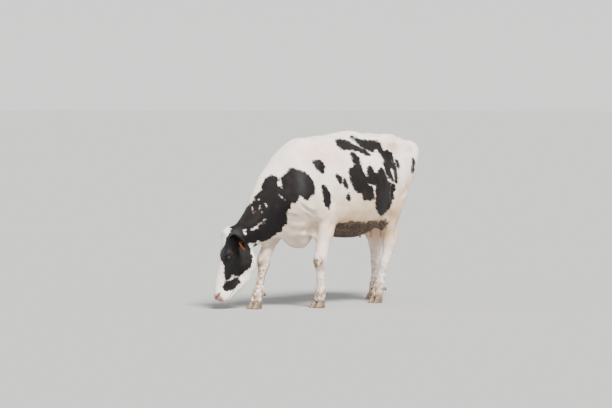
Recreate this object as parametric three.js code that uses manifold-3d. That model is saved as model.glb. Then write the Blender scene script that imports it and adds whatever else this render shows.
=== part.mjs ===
// A life-size Holstein-Friesian cow, grazing in mid-stride with her head down and turned to her right.
// +X is the way her body faces, +Y is her left and +Z is up, in millimetres.
// Her flesh is one field of joined muscles. Rings of rays from the middle of each length find its
// surface, and flat cuts part the body into trunk, neck, head and legs.
import * as THREE from "three";
import { mergeVertices } from "three/addons/utils/BufferGeometryUtils.js";
import Module from "manifold-3d";

const wasm = await Module();
wasm.setup();

// Driving dimensions.
const WITHERS_HEIGHT = 1380;
const LOIN_HEIGHT = 1456;
const RUMP_HEIGHT = 1430;
const PIN_X = -905; // rearmost bone of the seat
const PIN_HALF_WIDTH = 150;
const HOOK_X = -400; // widest bone of the hip
const HOOK_HALF_WIDTH = 262;
const BARREL_HALF_WIDTH = 345;
const BELLY_HEIGHT = 590;
const BRISKET_HEIGHT = 446; // lowest point of the brisket's keel
const NECK_YAW = -30; // degrees, to her right
const HEAD_YAW = -36;
const NECK_ROOT = [500, 0];
const POLL = [1066, -350];
const EYE_RADIUS = 20;
const GAP = 0.4; // left between neighbouring pieces
const HOOF_HEIGHT = 58;

// ---------------------------------------------------------------- vectors and frames

const add = (a, b) => a.map((v, i) => v + b[i]);
const sub = (a, b) => a.map((v, i) => v - b[i]);
const scale = (a, s) => a.map((v) => v * s);
const dot = (a, b) => a[0] * b[0] + a[1] * b[1] + a[2] * b[2];
const cross = (a, b) => [a[1] * b[2] - a[2] * b[1], a[2] * b[0] - a[0] * b[2], a[0] * b[1] - a[1] * b[0]];
const unit = (a) => scale(a, 1 / Math.hypot(...a));
const mix = (a, b, t) => (Array.isArray(a) ? a.map((v, i) => v + (b[i] - v) * t) : a + (b - a) * t);
const clamp = (v) => Math.min(1, Math.max(0, v));
const radians = (degrees) => (degrees * Math.PI) / 180;
const LEFT = [0, 1, 0];

// A frame standing at a place on the floor and turned by yaw: forward, left, height -> world.
function standing([x, y], yaw) {
  const c = Math.cos(radians(yaw));
  const s = Math.sin(radians(yaw));
  const at = (f, l, z) => [x + f * c - l * s, y + f * s + l * c, z];
  at.forward = [c, s, 0];
  at.left = [-s, c, 0];
  return at;
}
const neckAt = standing(NECK_ROOT, NECK_YAW);
const headAt = standing(POLL, HEAD_YAW);

// ---------------------------------------------------------------- the flesh field

// Each muscle gives the distance from a point to its surface, less than nothing inside.
// A strap runs from a to b, with half-widths `wide` along `side` and `deep` square to it.
function strap(a, b, wide, deep = wide, side = LEFT, blend = 45) {
  const along = sub(b, a);
  const length2 = dot(along, along);
  const distance = (p) => {
    const q = sub(p, a);
    const t = clamp(dot(q, along) / length2);
    const w = mix(wide[0], wide[1], t);
    const d = mix(deep[0], deep[1], t);
    const off = sub(q, scale(along, t));
    const across = dot(off, side);
    const rest2 = Math.max(0, dot(off, off) - across * across);
    return (Math.sqrt((across / w) ** 2 + rest2 / (d * d)) - 1) * Math.min(w, d);
  };
  return { distance, blend };
}

// A rounded mass about a centre, with radii along forward, left and up of its frame.
function mass(centre, radii, frame = { forward: [1, 0, 0], left: LEFT }, blend = 45) {
  const distance = (p) => {
    const q = sub(p, centre);
    const r = [dot(q, frame.forward) / radii[0], dot(q, frame.left) / radii[1], q[2] / radii[2]];
    const k0 = Math.hypot(...r);
    const k1 = Math.hypot(r[0] / radii[0], r[1] / radii[1], r[2] / radii[2]);
    return k1 < 1e-9 ? -Math.min(...radii) : (k0 * (k0 - 1)) / k1;
  };
  return { distance, blend };
}

// A chain of straps through points [place, wide, deep].
function chain(points, side = LEFT, blend = 45) {
  return points.slice(1).map(([b, wb, db], i) => {
    const [a, wa, da] = points[i];
    return strap(a, b, [wa, wb], [da ?? wa, db ?? wb], side, blend);
  });
}

function fleshOf(...groups) {
  const muscles = groups.flat();
  return (p) => {
    let d = Infinity;
    for (const { distance, blend } of muscles) {
      const e = distance(p);
      const h = d === Infinity ? 0 : Math.max(blend - Math.abs(d - e), 0) / blend;
      d = Math.min(d, e) - (h * h * blend) / 4;
    }
    return d;
  };
}

const pair = (make) => [1, -1].flatMap((side) => make(side));

// ---------------------------------------------------------------- trunk

const RIDGE = 42; // how far the chine bones lie under the topline
const topline = [
  [[NECK_ROOT[0] - 30, 0, WITHERS_HEIGHT - RIDGE], 44, RIDGE],
  [[250, 0, WITHERS_HEIGHT + 40 - RIDGE], 60, RIDGE],
  [[-140, 0, LOIN_HEIGHT - RIDGE], 85, RIDGE],
  [[-420, 0, RUMP_HEIGHT - 6 - RIDGE], 95, RIDGE],
  [[-720, 0, RUMP_HEIGHT - 6 - RIDGE], 60, RIDGE],
  [[-830, 0, RUMP_HEIGHT - 44 - RIDGE], 46, RIDGE - 4],
];
const ribs = [
  [[480, 0, 930], 150, 300],
  [[300, 0, 985], 250, 350],
  [[60, 6, 1000], 322, 395],
  [[-160, 12, 1008], BARREL_HALF_WIDTH, 1008 - BELLY_HEIGHT],
  [[-330, 10, 1060], BARREL_HALF_WIDTH - 30, 370],
  [[-480, 0, 1130], 225, 290],
];
const trunkFlesh = [
  ...chain(topline, LEFT, 60),
  ...chain(ribs, LEFT, 90),
  strap([-430, 0, 1330], [-840, 0, 1266], [215, 130], [115, 118], LEFT, 80),
  mass([476, 0, BRISKET_HEIGHT + 145], [150, 124, 145], undefined, 60),
  mass([610, 0, 690], [120, 120, 160], undefined, 80),
  ...pair((s) => [
    strap([-300, s * 150, 1395], [HOOK_X, s * (HOOK_HALF_WIDTH - 38), 1392], [48, 40], [40, 36], LEFT, 60),
    mass([HOOK_X - 8, s * (HOOK_HALF_WIDTH - 40), 1378], [62, 40, 48]),
    strap([HOOK_X, s * 205, 1360], [PIN_X + 60, s * (PIN_HALF_WIDTH - 32), 1312], [56, 46], [50, 46]),
    mass([PIN_X + 48, s * (PIN_HALF_WIDTH - 42), 1318], [48, 42, 50]),
    mass([-610, s * 180, 1200], [170, 92, 170], undefined, 80),
    mass([250, s * 175, 1040], [260, 105, 300], undefined, 90),
  ]),
];

// ---------------------------------------------------------------- legs

// One entry for each leg: the joints from the top down and what sets it apart from its fellow.
const FORE_LEGS = [
  { name: "left_fore_leg", side: 1, shoulder: [665, 178, 905], elbow: [345, 205, 800],
    knee: [440, 190, 392], fetlock: [412, 172, 140], foot: [425, 160], rear: 226, front: 560 },
  { name: "right_fore_leg", side: -1, shoulder: [700, -172, 900], elbow: [520, -195, 785],
    knee: [728, -182, 388], fetlock: [818, -162, 142], foot: [866, -155], rear: 392, front: 745 },
];
const HIND_LEGS = [
  { name: "left_hind_leg", side: 1, hip: [-640, 165, 1160], stifle: [-400, 218, 840],
    hock: [-494, 186, 520], fetlock: [-394, 158, 142], foot: [-364, 150], front: -305 },
  { name: "right_hind_leg", side: -1, hip: [-660, -165, 1160], stifle: [-500, -218, 835],
    hock: [-760, -182, 505], fetlock: [-732, -156, 142], foot: [-700, -150], front: -405 },
];

// Fetlock, pastern and the two toes down to the top of the hooves.
function lowerFoot({ fetlock: [x, y, z], foot: [fx, fy] }, width) {
  const toe = (s) => [fx - 4, fy + s * width * 0.46, HOOF_HEIGHT + 12];
  return [
    mass([x, y, z], [width, width * 0.95, width], undefined, 30),
    ...[1, -1].map((s) => strap([x + 4, y + s * 14, z - 8], toe(s), [width * 0.62, width * 0.6],
      [width * 0.72, width * 0.92], LEFT, 22)),
    mass([x - width * 0.75, y, z - 14], [width * 0.5, width * 0.62, width * 0.6], undefined, 22),
  ];
}

function foreLegFlesh(leg) {
  const { side: s, shoulder, elbow, knee, fetlock } = leg;
  const bladeTop = [478, s * 62, WITHERS_HEIGHT - 62];
  const point = add(elbow, [-62, 0, 38]);
  return [
    strap(bladeTop, shoulder, [42, 62], [120, 88], LEFT, 80),
    strap(add(bladeTop, [-150, s * 62, -190]), add(elbow, [30, -s * 18, 90]), [62, 66], [100, 92], LEFT, 80),
    strap(shoulder, elbow, [64, 66], [88, 88], LEFT, 70),
    mass(shoulder, [52, 52, 66]),
    strap(point, add(elbow, [10, 0, -10]), [40, 52], [36, 60]),
    strap(elbow, mix(elbow, knee, 0.42), [66, 60], [92, 72]),
    strap(mix(elbow, knee, 0.4), add(knee, [-4, 0, 30]), [60, 47], [72, 47]),
    mass(add(knee, [3, 0, -2]), [58, 54, 70], undefined, 30),
    strap(add(knee, [0, 0, -40]), mix(knee, fetlock, 0.45), [38, 29], [38, 31], LEFT, 25),
    strap(mix(knee, fetlock, 0.45), fetlock, [29, 31], [31, 35], LEFT, 25),
    ...lowerFoot(leg, 43),
  ];
}

function hindLegFlesh(leg) {
  const { side: s, hip, stifle, hock, fetlock } = leg;
  const seat = [PIN_X + 62, s * (PIN_HALF_WIDTH - 22), 1290];
  const heel = add(hock, [-82, 2 * s, 42]);
  const gaskin = mix(stifle, hock, 0.4);
  return [
    strap(hip, add(stifle, [-30, 0, 10]), [98, 84], [190, 118], LEFT, 80),
    strap(seat, add(gaskin, [-80, 0, 80]), [82, 58], [72, 70], LEFT, 80),
    mass(add(stifle, [30, 0, 10]), [70, 58, 88], undefined, 70),
    strap([HOOK_X + 20, s * 228, 1330], add(stifle, [40, 0, 70]), [26, 34], [42, 52], LEFT, 80),
    strap(add(stifle, [-30, 0, -20]), gaskin, [80, 62], [118, 86], LEFT, 60),
    strap(gaskin, add(hock, [2, 0, 30]), [64, 50], [86, 55], LEFT, 40),
    strap(add(gaskin, [-96, 0, 40]), heel, [30, 17], [34, 19], LEFT, 40),
    mass(hock, [56, 50, 76], undefined, 35),
    strap(add(hock, [-12, 0, -20]), heel, [38, 26], [42, 29], LEFT, 35),
    strap(add(hock, [0, 0, -40]), mix(hock, fetlock, 0.5), [46, 34], [50, 38], LEFT, 30),
    strap(mix(hock, fetlock, 0.5), fetlock, [32, 33], [36, 37], LEFT, 25),
    ...lowerFoot(leg, 44),
  ];
}

// ---------------------------------------------------------------- neck

const CREST = 46;
const crest = [
  [neckAt(0, 0, 1322), CREST + 6],
  [neckAt(112, 0, 1262), CREST],
  [neckAt(172, 0, 1200), CREST],
  [neckAt(214, 0, 1110), CREST - 4],
  [neckAt(256, 0, 1002), CREST - 4],
  [neckAt(330, 0, 866), CREST - 4],
  [neckAt(430, 0, 722), CREST - 2],
  [neckAt(532, 0, 640), CREST],
];
const neckCore = [
  [neckAt(-20, 0, 1080), 150, 250],
  [neckAt(140, 0, 930), 140, 232],
  [neckAt(255, 0, 796), 118, 166],
  [neckAt(372, 0, 686), 100, 120],
  [neckAt(480, 0, 590), 86, 104],
];
const throat = [
  [[560, 0, 600], 74, 60],
  [neckAt(210, 0, 640), 62, 58],
  [neckAt(330, 0, 628), 58, 56],
  [neckAt(440, 0, 590), 56, 56],
];
const neckFlesh = [
  ...chain(crest, neckAt.left, 60),
  ...chain(neckCore, neckAt.left, 70),
  ...chain(throat, neckAt.left, 60),
  ...pair((s) => [
    mass([606, s * 92, 930], [120, 112, 250], undefined, 90),
    strap([640, s * 150, 930], neckAt(300, s * 52, 740), [66, 52], [100, 74], neckAt.left, 100),
    strap([560, s * 100, 1180], neckAt(230, s * 50, 960), [58, 44], [110, 80], neckAt.left, 90),
  ]),
];

// ---------------------------------------------------------------- head

// Head places are forward, left, height: she holds her face upright, so her brow faces forward.
const face = (f, l, z) => headAt(f, l, z);
const EYES = { forward: -37, left: 89, height: 428 };
const headFlesh = [
  mass(face(-34, 0, 640), [36, 60, 40], headAt, 30),
  strap(face(-70, 0, 610), face(-84, 0, 470), [78, 98], [58, 74], headAt.left, 45),
  strap(face(-42, 0, 600), face(-34, 0, 450), [66, 84], [36, 36], headAt.left, 40),
  strap(face(-28, 0, 440), face(10, 0, 170), [62, 46], [32, 46], headAt.left, 40),
  strap(face(-96, 0, 430), face(-34, 0, 200), [84, 60], [84, 74], headAt.left, 50),
  mass(face(-10, 0, 118), [66, 74, 60], headAt, 45),
  mass(face(14, 0, 96), [44, 66, 42], headAt, 35),
  mass(face(-54, 0, 122), [36, 46, 34], headAt, 30),
  ...pair((s) => [
    mass(face(-36, s * 74, 446), [36, 20, 42], headAt, 30),
    strap(face(-70, s * 84, 400), face(-40, s * 58, 250), [22, 20], [34, 26], headAt.left, 35),
    mass(face(-190, s * 46, 398), [104, 42, 104], headAt, 55),
    ...chain([[face(-214, s * 44, 356), 36, 50], [face(-182, s * 36, 246), 32, 38],
      [face(-134, s * 28, 198), 28, 35], [face(-92, s * 22, 168), 26, 33],
      [face(-60, s * 16, 146), 26, 30]], headAt.left, 36),
    mass(face(-92, s * 74, 575), [34, 26, 40], headAt, 35),
  ]),
];

// ---------------------------------------------------------------- rings and lofts

const MARCH = 9;
// The distance from a centre to where the flesh ends.
function reach(field, centre, direction) {
  let low = 0;
  let high = MARCH;
  while (field(add(centre, scale(direction, high))) < 0 && high < 1200) {
    low = high;
    high += MARCH;
  }
  for (let i = 0; i < 16; i++) {
    const middle = (low + high) / 2;
    if (field(add(centre, scale(direction, middle))) < 0) low = middle;
    else high = middle;
  }
  return low;
}

// One closed body through rings of points, with a fan over each end.
function bodyOf(rings, startTip, endTip) {
  const count = rings[0].length;
  const points = [...rings.flat(), startTip, endTip];
  const start = points.length - 2;
  const faces = [];
  for (let i = 0; i < count; i++) {
    const next = (i + 1) % count;
    for (let r = 0; r + 1 < rings.length; r++) {
      const [a, b, c, d] = [r * count + i, r * count + next, (r + 1) * count + next, (r + 1) * count + i];
      faces.push(a, b, c, a, c, d);
    }
    const last = (rings.length - 1) * count;
    faces.push(start, next, i, start + 1, last + i, last + next);
  }
  const geometry = new THREE.BufferGeometry();
  geometry.setAttribute("position", new THREE.BufferAttribute(new Float32Array(points.flat()), 3));
  geometry.setIndex(faces);
  return solidOf(geometry);
}

function solidOf(geometry) {
  const plain = geometry.clone();
  plain.deleteAttribute("normal");
  plain.deleteAttribute("uv");
  const merged = mergeVertices(plain, 1e-3);
  const made = (triVerts) => new wasm.Manifold(new wasm.Mesh({
    numProp: 3, vertProperties: merged.getAttribute("position").array, triVerts }));
  const triVerts = new Uint32Array(merged.index.array);
  const solid = made(triVerts);
  return solid.volume() > 0 ? solid : made(triVerts.reverse());
}

// Each distance drawn a little towards its neighbours', along the rings from..to only.
function eased(distances, [from, to]) {
  return distances.map((ring, k) => ring.map((d, i) => {
    if (k < from || k > to) return d;
    const beside = ring.at(i - 1) + ring[(i + 1) % ring.length];
    return d / 2 + (beside + distances[k - 1][i] + distances[k + 1][i]) / 8;
  }));
}

// A loft along stations {centre, across, up}: `sides` rays in each station's plane, crowded towards
// `up` and its opposite where the section is `stretch` times as long across.
// fieldAt gives the field that a station's rays run through; the rings of `ease` are eased twice.
function loft(stations, fieldAt, sides, { swell = 0, ease = [Infinity, 0] } = {}) {
  const directions = stations.map(({ across, up, stretch = 1 }) => Array.from({ length: sides }, (_, i) => {
    const angle = (2 * Math.PI * (i + 0.5)) / sides;
    return unit(add(scale(across, stretch * Math.cos(angle)), scale(up, Math.sin(angle))));
  }));
  const found = stations.map(({ centre }, k) => directions[k].map((to) => reach(fieldAt(k), centre, to)));
  const rings = eased(eased(found, ease), ease).map((ring, k) => ring.map((distance, i) =>
    add(stations[k].centre, scale(directions[k][i], distance + swell))));
  return bodyOf(rings, stations[0].centre, stations.at(-1).centre);
}

// Stations from key frames {centre, pitch, yaw}, `steps` between each two.
function stationsThrough(keys) {
  const path = new THREE.CatmullRomCurve3(keys.map(({ centre }) => new THREE.Vector3(...centre)), false,
    "centripetal");
  const stations = [];
  keys.slice(1).forEach((key, i) => {
    const from = keys[i];
    const last = i === keys.length - 2;
    for (let step = 0; step < key.steps + (last ? 1 : 0); step++) {
      const t = step / key.steps;
      const pitch = radians(mix(from.pitch, key.pitch, t));
      const yaw = radians(mix(from.yaw, key.yaw, t));
      const normal = [Math.cos(pitch) * Math.cos(yaw), Math.cos(pitch) * Math.sin(yaw), Math.sin(pitch)];
      const across = [-Math.sin(yaw), Math.cos(yaw), 0];
      stations.push({ centre: path.getPoint((i + t) / (keys.length - 1)).toArray(), across,
        up: cross(normal, across) });
    }
  });
  return stations;
}

// ---------------------------------------------------------------- cutting tools

// A prism of an outline of [y, z] points, from x0 to x1.
function prism(outline, x0, x1) {
  const shape = new THREE.Shape(outline.map(([y, z]) => new THREE.Vector2(y, z)));
  const geometry = new THREE.ExtrudeGeometry(shape, { depth: x1 - x0, bevelEnabled: false });
  geometry.applyMatrix4(new THREE.Matrix4().makeBasis(new THREE.Vector3(0, 1, 0),
    new THREE.Vector3(0, 0, 1), new THREE.Vector3(1, 0, 0)));
  geometry.translate(x0, 0, 0);
  return solidOf(geometry);
}

// All that lies beyond a plane, as a large box.
const FAR = 5000;
function beyond(point, normal, gap) {
  const box = new THREE.BoxGeometry(FAR, FAR, FAR);
  box.translate(0, 0, FAR / 2 + gap);
  const turn = new THREE.Quaternion().setFromUnitVectors(new THREE.Vector3(0, 0, 1),
    new THREE.Vector3(...unit(normal)));
  box.applyQuaternion(turn);
  box.translate(...point);
  return solidOf(box);
}

const largest = (solid) => solid.decompose().reduce((a, b) => (b.volume() > a.volume() ? b : a));

// ---------------------------------------------------------------- parting the legs from the trunk

const REACH_OVER = 45; // how far each body runs past a cut before it is trimmed
const END = 1400; // beyond her nose and her tail
const ABOVE = 1600; // over her back
const BESIDE = 420; // outside her barrel
const FORE_CUT = { inner: 104, low: 632, rise: 1.15, guard: 450, stretch: 1.2 };
const HIND_CUT = { inner: 6, low: 812, rise: 0.62, guard: 480, stretch: 2.2 };

// The height of a cut at a distance from the middle plane.
const cutHeight = (cut, y) => cut.low + (Math.abs(y) - cut.inner) * cut.rise;

// The space given to a leg: under the slanting cut, outside the inner plane and within x limits.
function legSpace(cut, s, x0, x1, grow) {
  const inner = cut.inner - grow;
  const outline = [[inner, -10], [BESIDE, -10], [BESIDE, cutHeight(cut, BESIDE) + grow * 1.5],
    [inner, cutHeight(cut, inner) + grow * 1.5]];
  return prism(outline.map(([y, z]) => [s * y, z]), x0 - grow, x1 + grow);
}

// How far a point is outside that space, for the rays of each loft.
function outsideSpace(cut, s, x0, x1) {
  const slope = Math.hypot(1, cut.rise);
  return ([x, y, z]) => Math.max((z - cutHeight(cut, s * y > 0 ? y : 0)) / slope, cut.inner - s * y,
    x0 - x, x - x1);
}

const spaces = new Map(); // by leg: its cut, its side, and where it begins and ends
for (const leg of FORE_LEGS) spaces.set(leg.name, [FORE_CUT, leg.side, leg.rear, leg.front]);
for (const leg of HIND_LEGS) spaces.set(leg.name, [HIND_CUT, leg.side, -END, leg.front]);

const foreFlesh = FORE_LEGS.map(foreLegFlesh);
const hindFlesh = HIND_LEGS.map(hindLegFlesh);

// ---------------------------------------------------------------- trunk, neck and head

const bodyFlesh = fleshOf(trunkFlesh, ...foreFlesh, ...hindFlesh, neckFlesh, headFlesh);
const outside = [...spaces.values()].map((space) => outsideSpace(...space));
// The body stops a little way into each leg's space.
const spineField = (p) => Math.max(bodyFlesh(p), ...outside.map((out) => -out(p) - REACH_OVER));
const headField = fleshOf(neckFlesh, headFlesh);

const spine = stationsThrough([
  { centre: [-918, 0, 1300], pitch: 0, yaw: 0 },
  { centre: [-860, 0, 1240], pitch: 0, yaw: 0, steps: 3 },
  { centre: [-560, 0, 1120], pitch: 0, yaw: 0, steps: 5 },
  { centre: [-100, 0, 1020], pitch: 0, yaw: 0, steps: 7 },
  { centre: [380, 0, 980], pitch: 0, yaw: 0, steps: 7 },
  { centre: [600, -14, 950], pitch: -4, yaw: -6, steps: 4 },
  { centre: neckAt(200, 0, 860), pitch: -14, yaw: -20, steps: 4 },
  { centre: neckAt(330, 0, 740), pitch: -32, yaw: -28, steps: 3 },
  { centre: neckAt(450, 0, 618), pitch: -52, yaw: -32, steps: 4 },
  { centre: face(-100, 0, 520), pitch: -78, yaw: -36, steps: 4 },
  { centre: face(-92, 0, 380), pitch: -86, yaw: -36, steps: 5 },
  { centre: face(-50, 0, 180), pitch: -84, yaw: -36, steps: 5 },
  { centre: face(-18, 0, 84), pitch: -80, yaw: -36, steps: 3 },
  { centre: face(-12, 0, 62), pitch: -80, yaw: -36, steps: 2 },
]);
const SPINE_SIDES = 28;
const HEAD_STATION = 34; // from here on the legs are left out
const spineAt = (i) => (i < HEAD_STATION ? spineField : headField);
const NECK_STATIONS = [22, 33];
const whole = loft(spine, spineAt, SPINE_SIDES, { ease: NECK_STATIONS });

const NECK_CUT = { point: [560, 0, 1000], normal: unit([0.93, -0.12, 0.3]) };
const HEAD_CUT = { point: face(-200, 0, 572), normal: unit([0.527, -0.383, -0.758]) };

let trunk = whole.subtract(beyond(NECK_CUT.point, NECK_CUT.normal, -GAP / 2));
let neck = whole.subtract(beyond(NECK_CUT.point, scale(NECK_CUT.normal, -1), -GAP / 2));
neck = neck.subtract(beyond(HEAD_CUT.point, HEAD_CUT.normal, -GAP / 2));
let head = whole.subtract(beyond(HEAD_CUT.point, scale(HEAD_CUT.normal, -1), -GAP / 2));
for (const [cut, s, x0, x1] of spaces.values()) {
  const space = legSpace(cut, s, x0, x1, GAP / 2);
  trunk = trunk.subtract(space);
  neck = neck.subtract(space);
}

// ---------------------------------------------------------------- legs

const LEG_SIDES = 16;
const LEG_STEP = 42;

// Stations down a leg: level rings about its joints, tilting at the top to lie along the cut.
function legStations(joints, cut, s) {
  const tilt = Math.atan(cut.rise);
  const [top] = joints;
  const bottom = joints.at(-1)[2];
  const count = Math.round((top[2] - bottom) / LEG_STEP);
  return Array.from({ length: count + 1 }, (_, i) => {
    const z = mix(top[2], bottom, i / count);
    const k = Math.max(0, joints.findIndex((joint) => joint[2] <= z) - 1);
    const [a, b] = [joints[k], joints[k + 1]];
    const centre = mix(a, b, clamp((z - a[2]) / (b[2] - a[2])));
    const lean = tilt * (1 - clamp(i / (count * 0.42)));
    const stretch = mix(cut.stretch, 1, clamp(i / (count * 0.5)));
    return { centre, across: [1, 0, 0], up: [0, s * Math.cos(lean), Math.sin(lean)], stretch };
  });
}

function makeLeg(leg, flesh, joints, cut) {
  const [, s, x0, x1] = spaces.get(leg.name);
  const out = outsideSpace(cut, s, x0, x1);
  const legField = fleshOf(trunkFlesh, flesh, neckFlesh);
  const field = (p) => {
    const limit = p[2] > cut.guard - 40 ? out(p) - REACH_OVER : -Infinity;
    return Math.max(legField(p), limit);
  };
  let solid = loft(legStations(joints, cut, s), () => field, LEG_SIDES);
  const above = [[s * cut.inner, cut.low], [s * BESIDE, cutHeight(cut, BESIDE)], [s * BESIDE, ABOVE],
    [-s * BESIDE, ABOVE], [-s * BESIDE, cut.guard], [s * cut.inner, cut.guard]];
  solid = solid.subtract(prism(above.map(([y, z]) => [y + s * GAP / 2, z - GAP / 2]), -END, END));
  const guard = [[-BESIDE, cut.guard], [BESIDE, cut.guard], [BESIDE, ABOVE], [-BESIDE, ABOVE]];
  if (x0 > -END) solid = solid.subtract(prism(guard, -END, x0 + GAP / 2));
  return largest(solid.subtract(prism(guard, x1 - GAP / 2, END)));
}

const ankle = (leg) => [leg.foot[0] - 4, leg.foot[1], HOOF_HEIGHT];
const legs = [
  ...FORE_LEGS.map((leg, i) => {
    const top = [leg.elbow[0] + 20, leg.elbow[1], cutHeight(FORE_CUT, leg.elbow[1]) + REACH_OVER];
    const joints = [top, add(leg.elbow, [10, 0, -90]), leg.knee, leg.fetlock, ankle(leg)];
    return [leg, makeLeg(leg, foreFlesh[i], joints, FORE_CUT)];
  }),
  ...HIND_LEGS.map((leg, i) => {
    const middle = mix(leg.stifle, leg.hock, 0.3);
    const top = [middle[0] - 50, leg.stifle[1] - leg.side * 30, cutHeight(HIND_CUT, 188) + REACH_OVER];
    const joints = [top, add(middle, [-10, 0, 0]), leg.hock, leg.fetlock, ankle(leg)];
    return [leg, makeLeg(leg, hindFlesh[i], joints, HIND_CUT)];
  }),
];

// ---------------------------------------------------------------- hooves and dewclaws

const CLAW_SIDES = 8;
// One toe's hoof: a flat sole, longer than it is wide, leaning back to the coronet.
function claw(foot, toe, width, length) {
  const levels = [0, 0.5, 1].map((t) => {
    const z = t * (HOOF_HEIGHT - GAP);
    return Array.from({ length: CLAW_SIDES }, (_, i) => {
      const angle = (2 * Math.PI * (i + 0.5)) / CLAW_SIDES;
      const [c, sn] = [Math.cos(angle), Math.sin(angle)];
      const taper = 1 - 0.22 * Math.max(0, c);
      const along = c * length * mix(0.5, 0.39, t) + mix(26, 2, t);
      return [foot[0] - 4 + along, foot[1] + toe * (width * 0.5 + 2) + sn * width * 0.5 * taper, z];
    });
  });
  const centre = (ring) => scale(ring.reduce((a, b) => add(a, b)), 1 / ring.length);
  return bodyOf(levels, centre(levels[0]), centre(levels.at(-1)));
}

// A small horn button behind the fetlock, one above each toe; `swell` makes its socket.
function dewclaw([x, y, z], toe, swell) {
  const button = new THREE.SphereGeometry(1, 6, 5);
  button.scale(11 + swell, 10 + swell, 17 + swell);
  button.rotateY(radians(30));
  button.translate(x - 55, y + toe * 20, z - 26);
  return solidOf(button);
}

// ---------------------------------------------------------------- tail

const TAIL_SIDES = 7;
const TAIL_STEPS = 12;
const tailPath = new THREE.CatmullRomCurve3([
  [-790, 0, 1378], [-868, -1, 1388], [-932, -4, 1346], [-962, -12, 1250], [-962, -32, 1100],
  [-945, -62, 930], [-922, -92, 780], [-908, -112, 680]].map((p) => new THREE.Vector3(...p)));
const switchPath = new THREE.CatmullRomCurve3([
  [-908, -112, 679], [-902, -124, 600], [-900, -136, 510], [-902, -142, 440]]
  .map((p) => new THREE.Vector3(...p)));

// A round tapered body along a path.
function tube(path, steps, sides, radius, swell = 0) {
  const rings = Array.from({ length: steps + 1 }, (_, k) => {
    const t = k / steps;
    const normal = path.getTangentAt(t).toArray();
    const centre = sub(path.getPointAt(t).toArray(), scale(normal, k === 0 ? swell : 0));
    const across = unit(cross(normal, LEFT));
    const up = cross(normal, across);
    const r = radius(t) + swell;
    return Array.from({ length: sides }, (_, i) => {
      const angle = (2 * Math.PI * i) / sides;
      return add(centre, add(scale(across, r * Math.cos(angle)), scale(up, r * Math.sin(angle))));
    });
  });
  const middle = (ring) => scale(ring.reduce((a, b) => add(a, b)), 1 / sides);
  return bodyOf(rings, middle(rings[0]), middle(rings.at(-1)));
}
const tailRadius = (t) => 36 - 24 * Math.pow(t, 0.62);
const switchRadius = (t) => 13 + 27 * Math.sin(Math.PI * Math.pow(t, 0.8)) - 4 * t;
const tail = tube(tailPath, TAIL_STEPS, TAIL_SIDES, tailRadius);
const tailSwitch = tube(switchPath, TAIL_STEPS / 2, TAIL_SIDES, switchRadius);
trunk = trunk.subtract(tube(tailPath, TAIL_STEPS, TAIL_SIDES, tailRadius, GAP));

// ---------------------------------------------------------------- udder

const udderFlesh = fleshOf([
  mass([-470, 0, 745], [185, 118, 150], undefined, 60),
  mass([-620, 0, 790], [120, 96, 150], undefined, 60),
  strap([-300, 0, 700], [-450, 0, 720], [80, 110], [50, 90], LEFT, 60),
]);
const teatAt = [[-400, 62], [-400, -62], [-545, 50], [-545, -50]];
function udderBody(swell) {
  const stations = Array.from({ length: 7 }, (_, i) => ({
    centre: [mix(-520, -475, i / 6), 0, mix(890, 612, i / 6)], across: [1, 0, 0], up: [0, 1, 0] }));
  return loft(stations, () => udderFlesh, 12, { swell });
}
let udder = udderBody(0);
for (const [x, y] of teatAt) {
  const teat = new THREE.LatheGeometry([[0, 0], [9, 3], [12, 14], [13, 40], [17, 82], [0, 92]]
    .map(([r, z]) => new THREE.Vector2(r, z)), 6);
  teat.rotateX(Math.PI / 2);
  teat.translate(x, y, 548);
  udder = udder.add(solidOf(teat));
}
const udderSeat = udderBody(GAP);
trunk = trunk.subtract(udderSeat);
const legSolids = legs.map(([leg, solid]) => {
  const bored = [1, -1].reduce((rest, toe) => rest.subtract(dewclaw(leg.fetlock, toe, GAP)), solid);
  return [leg, largest(bored.subtract(udderSeat))];
});

// ---------------------------------------------------------------- eyes, ears and tag

function eyeball(s, swell) {
  const ball = new THREE.SphereGeometry(EYE_RADIUS + swell, 10, 7);
  ball.translate(...face(EYES.forward, s * EYES.left, EYES.height));
  return solidOf(ball);
}
head = head.subtract(eyeball(1, GAP)).subtract(eyeball(-1, GAP));

// A leaf-shaped ear, cupped along its length, from a root plug inside the head.
const EAR_LENGTH = 200;
function earFrame({ root, direction, opening }) {
  const along = unit(direction);
  const across = unit(cross(opening, along));
  const front = cross(along, across);
  return { root, along, across, front };
}

function ear(place, swell) {
  const { root, along, across, front } = earFrame(place);
  const rings = Array.from({ length: 8 }, (_, k) => {
    const t = k / 7;
    const half = 20 + 44 * Math.pow(Math.sin(Math.PI * Math.pow(t, 0.72) * 0.93), 1.1) + swell;
    const thick = mix(19, 3.5, Math.pow(t, 0.5)) + swell;
    return Array.from({ length: 10 }, (_, i) => {
      const angle = (2 * Math.PI * i) / 10;
      const x = Math.cos(angle);
      const bowl = half * 0.42 * (x * x - 0.35) * Math.min(1, t * 3);
      return add(add(root, scale(along, t * EAR_LENGTH - (k === 0 ? swell : 0))),
        add(scale(across, half * x), scale(front, thick * Math.sin(angle) + bowl)));
    });
  });
  const centre = (ring) => scale(ring.reduce((a, b) => add(a, b)), 1 / ring.length);
  return bodyOf(rings, centre(rings[0]), centre(rings.at(-1)));
}
const LEFT_EAR = { root: face(-92, 64, 596), direction: [0.36, 0.9, -0.12], opening: [0.75, -0.1, -0.55] };
const RIGHT_EAR = { root: face(-92, -64, 596), direction: [-0.66, -0.62, 0.24], opening: [0.5, 0.2, 0.7] };
for (const place of [LEFT_EAR, RIGHT_EAR]) {
  head = head.subtract(ear(place, GAP));
  neck = neck.subtract(ear(place, GAP));
}

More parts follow.
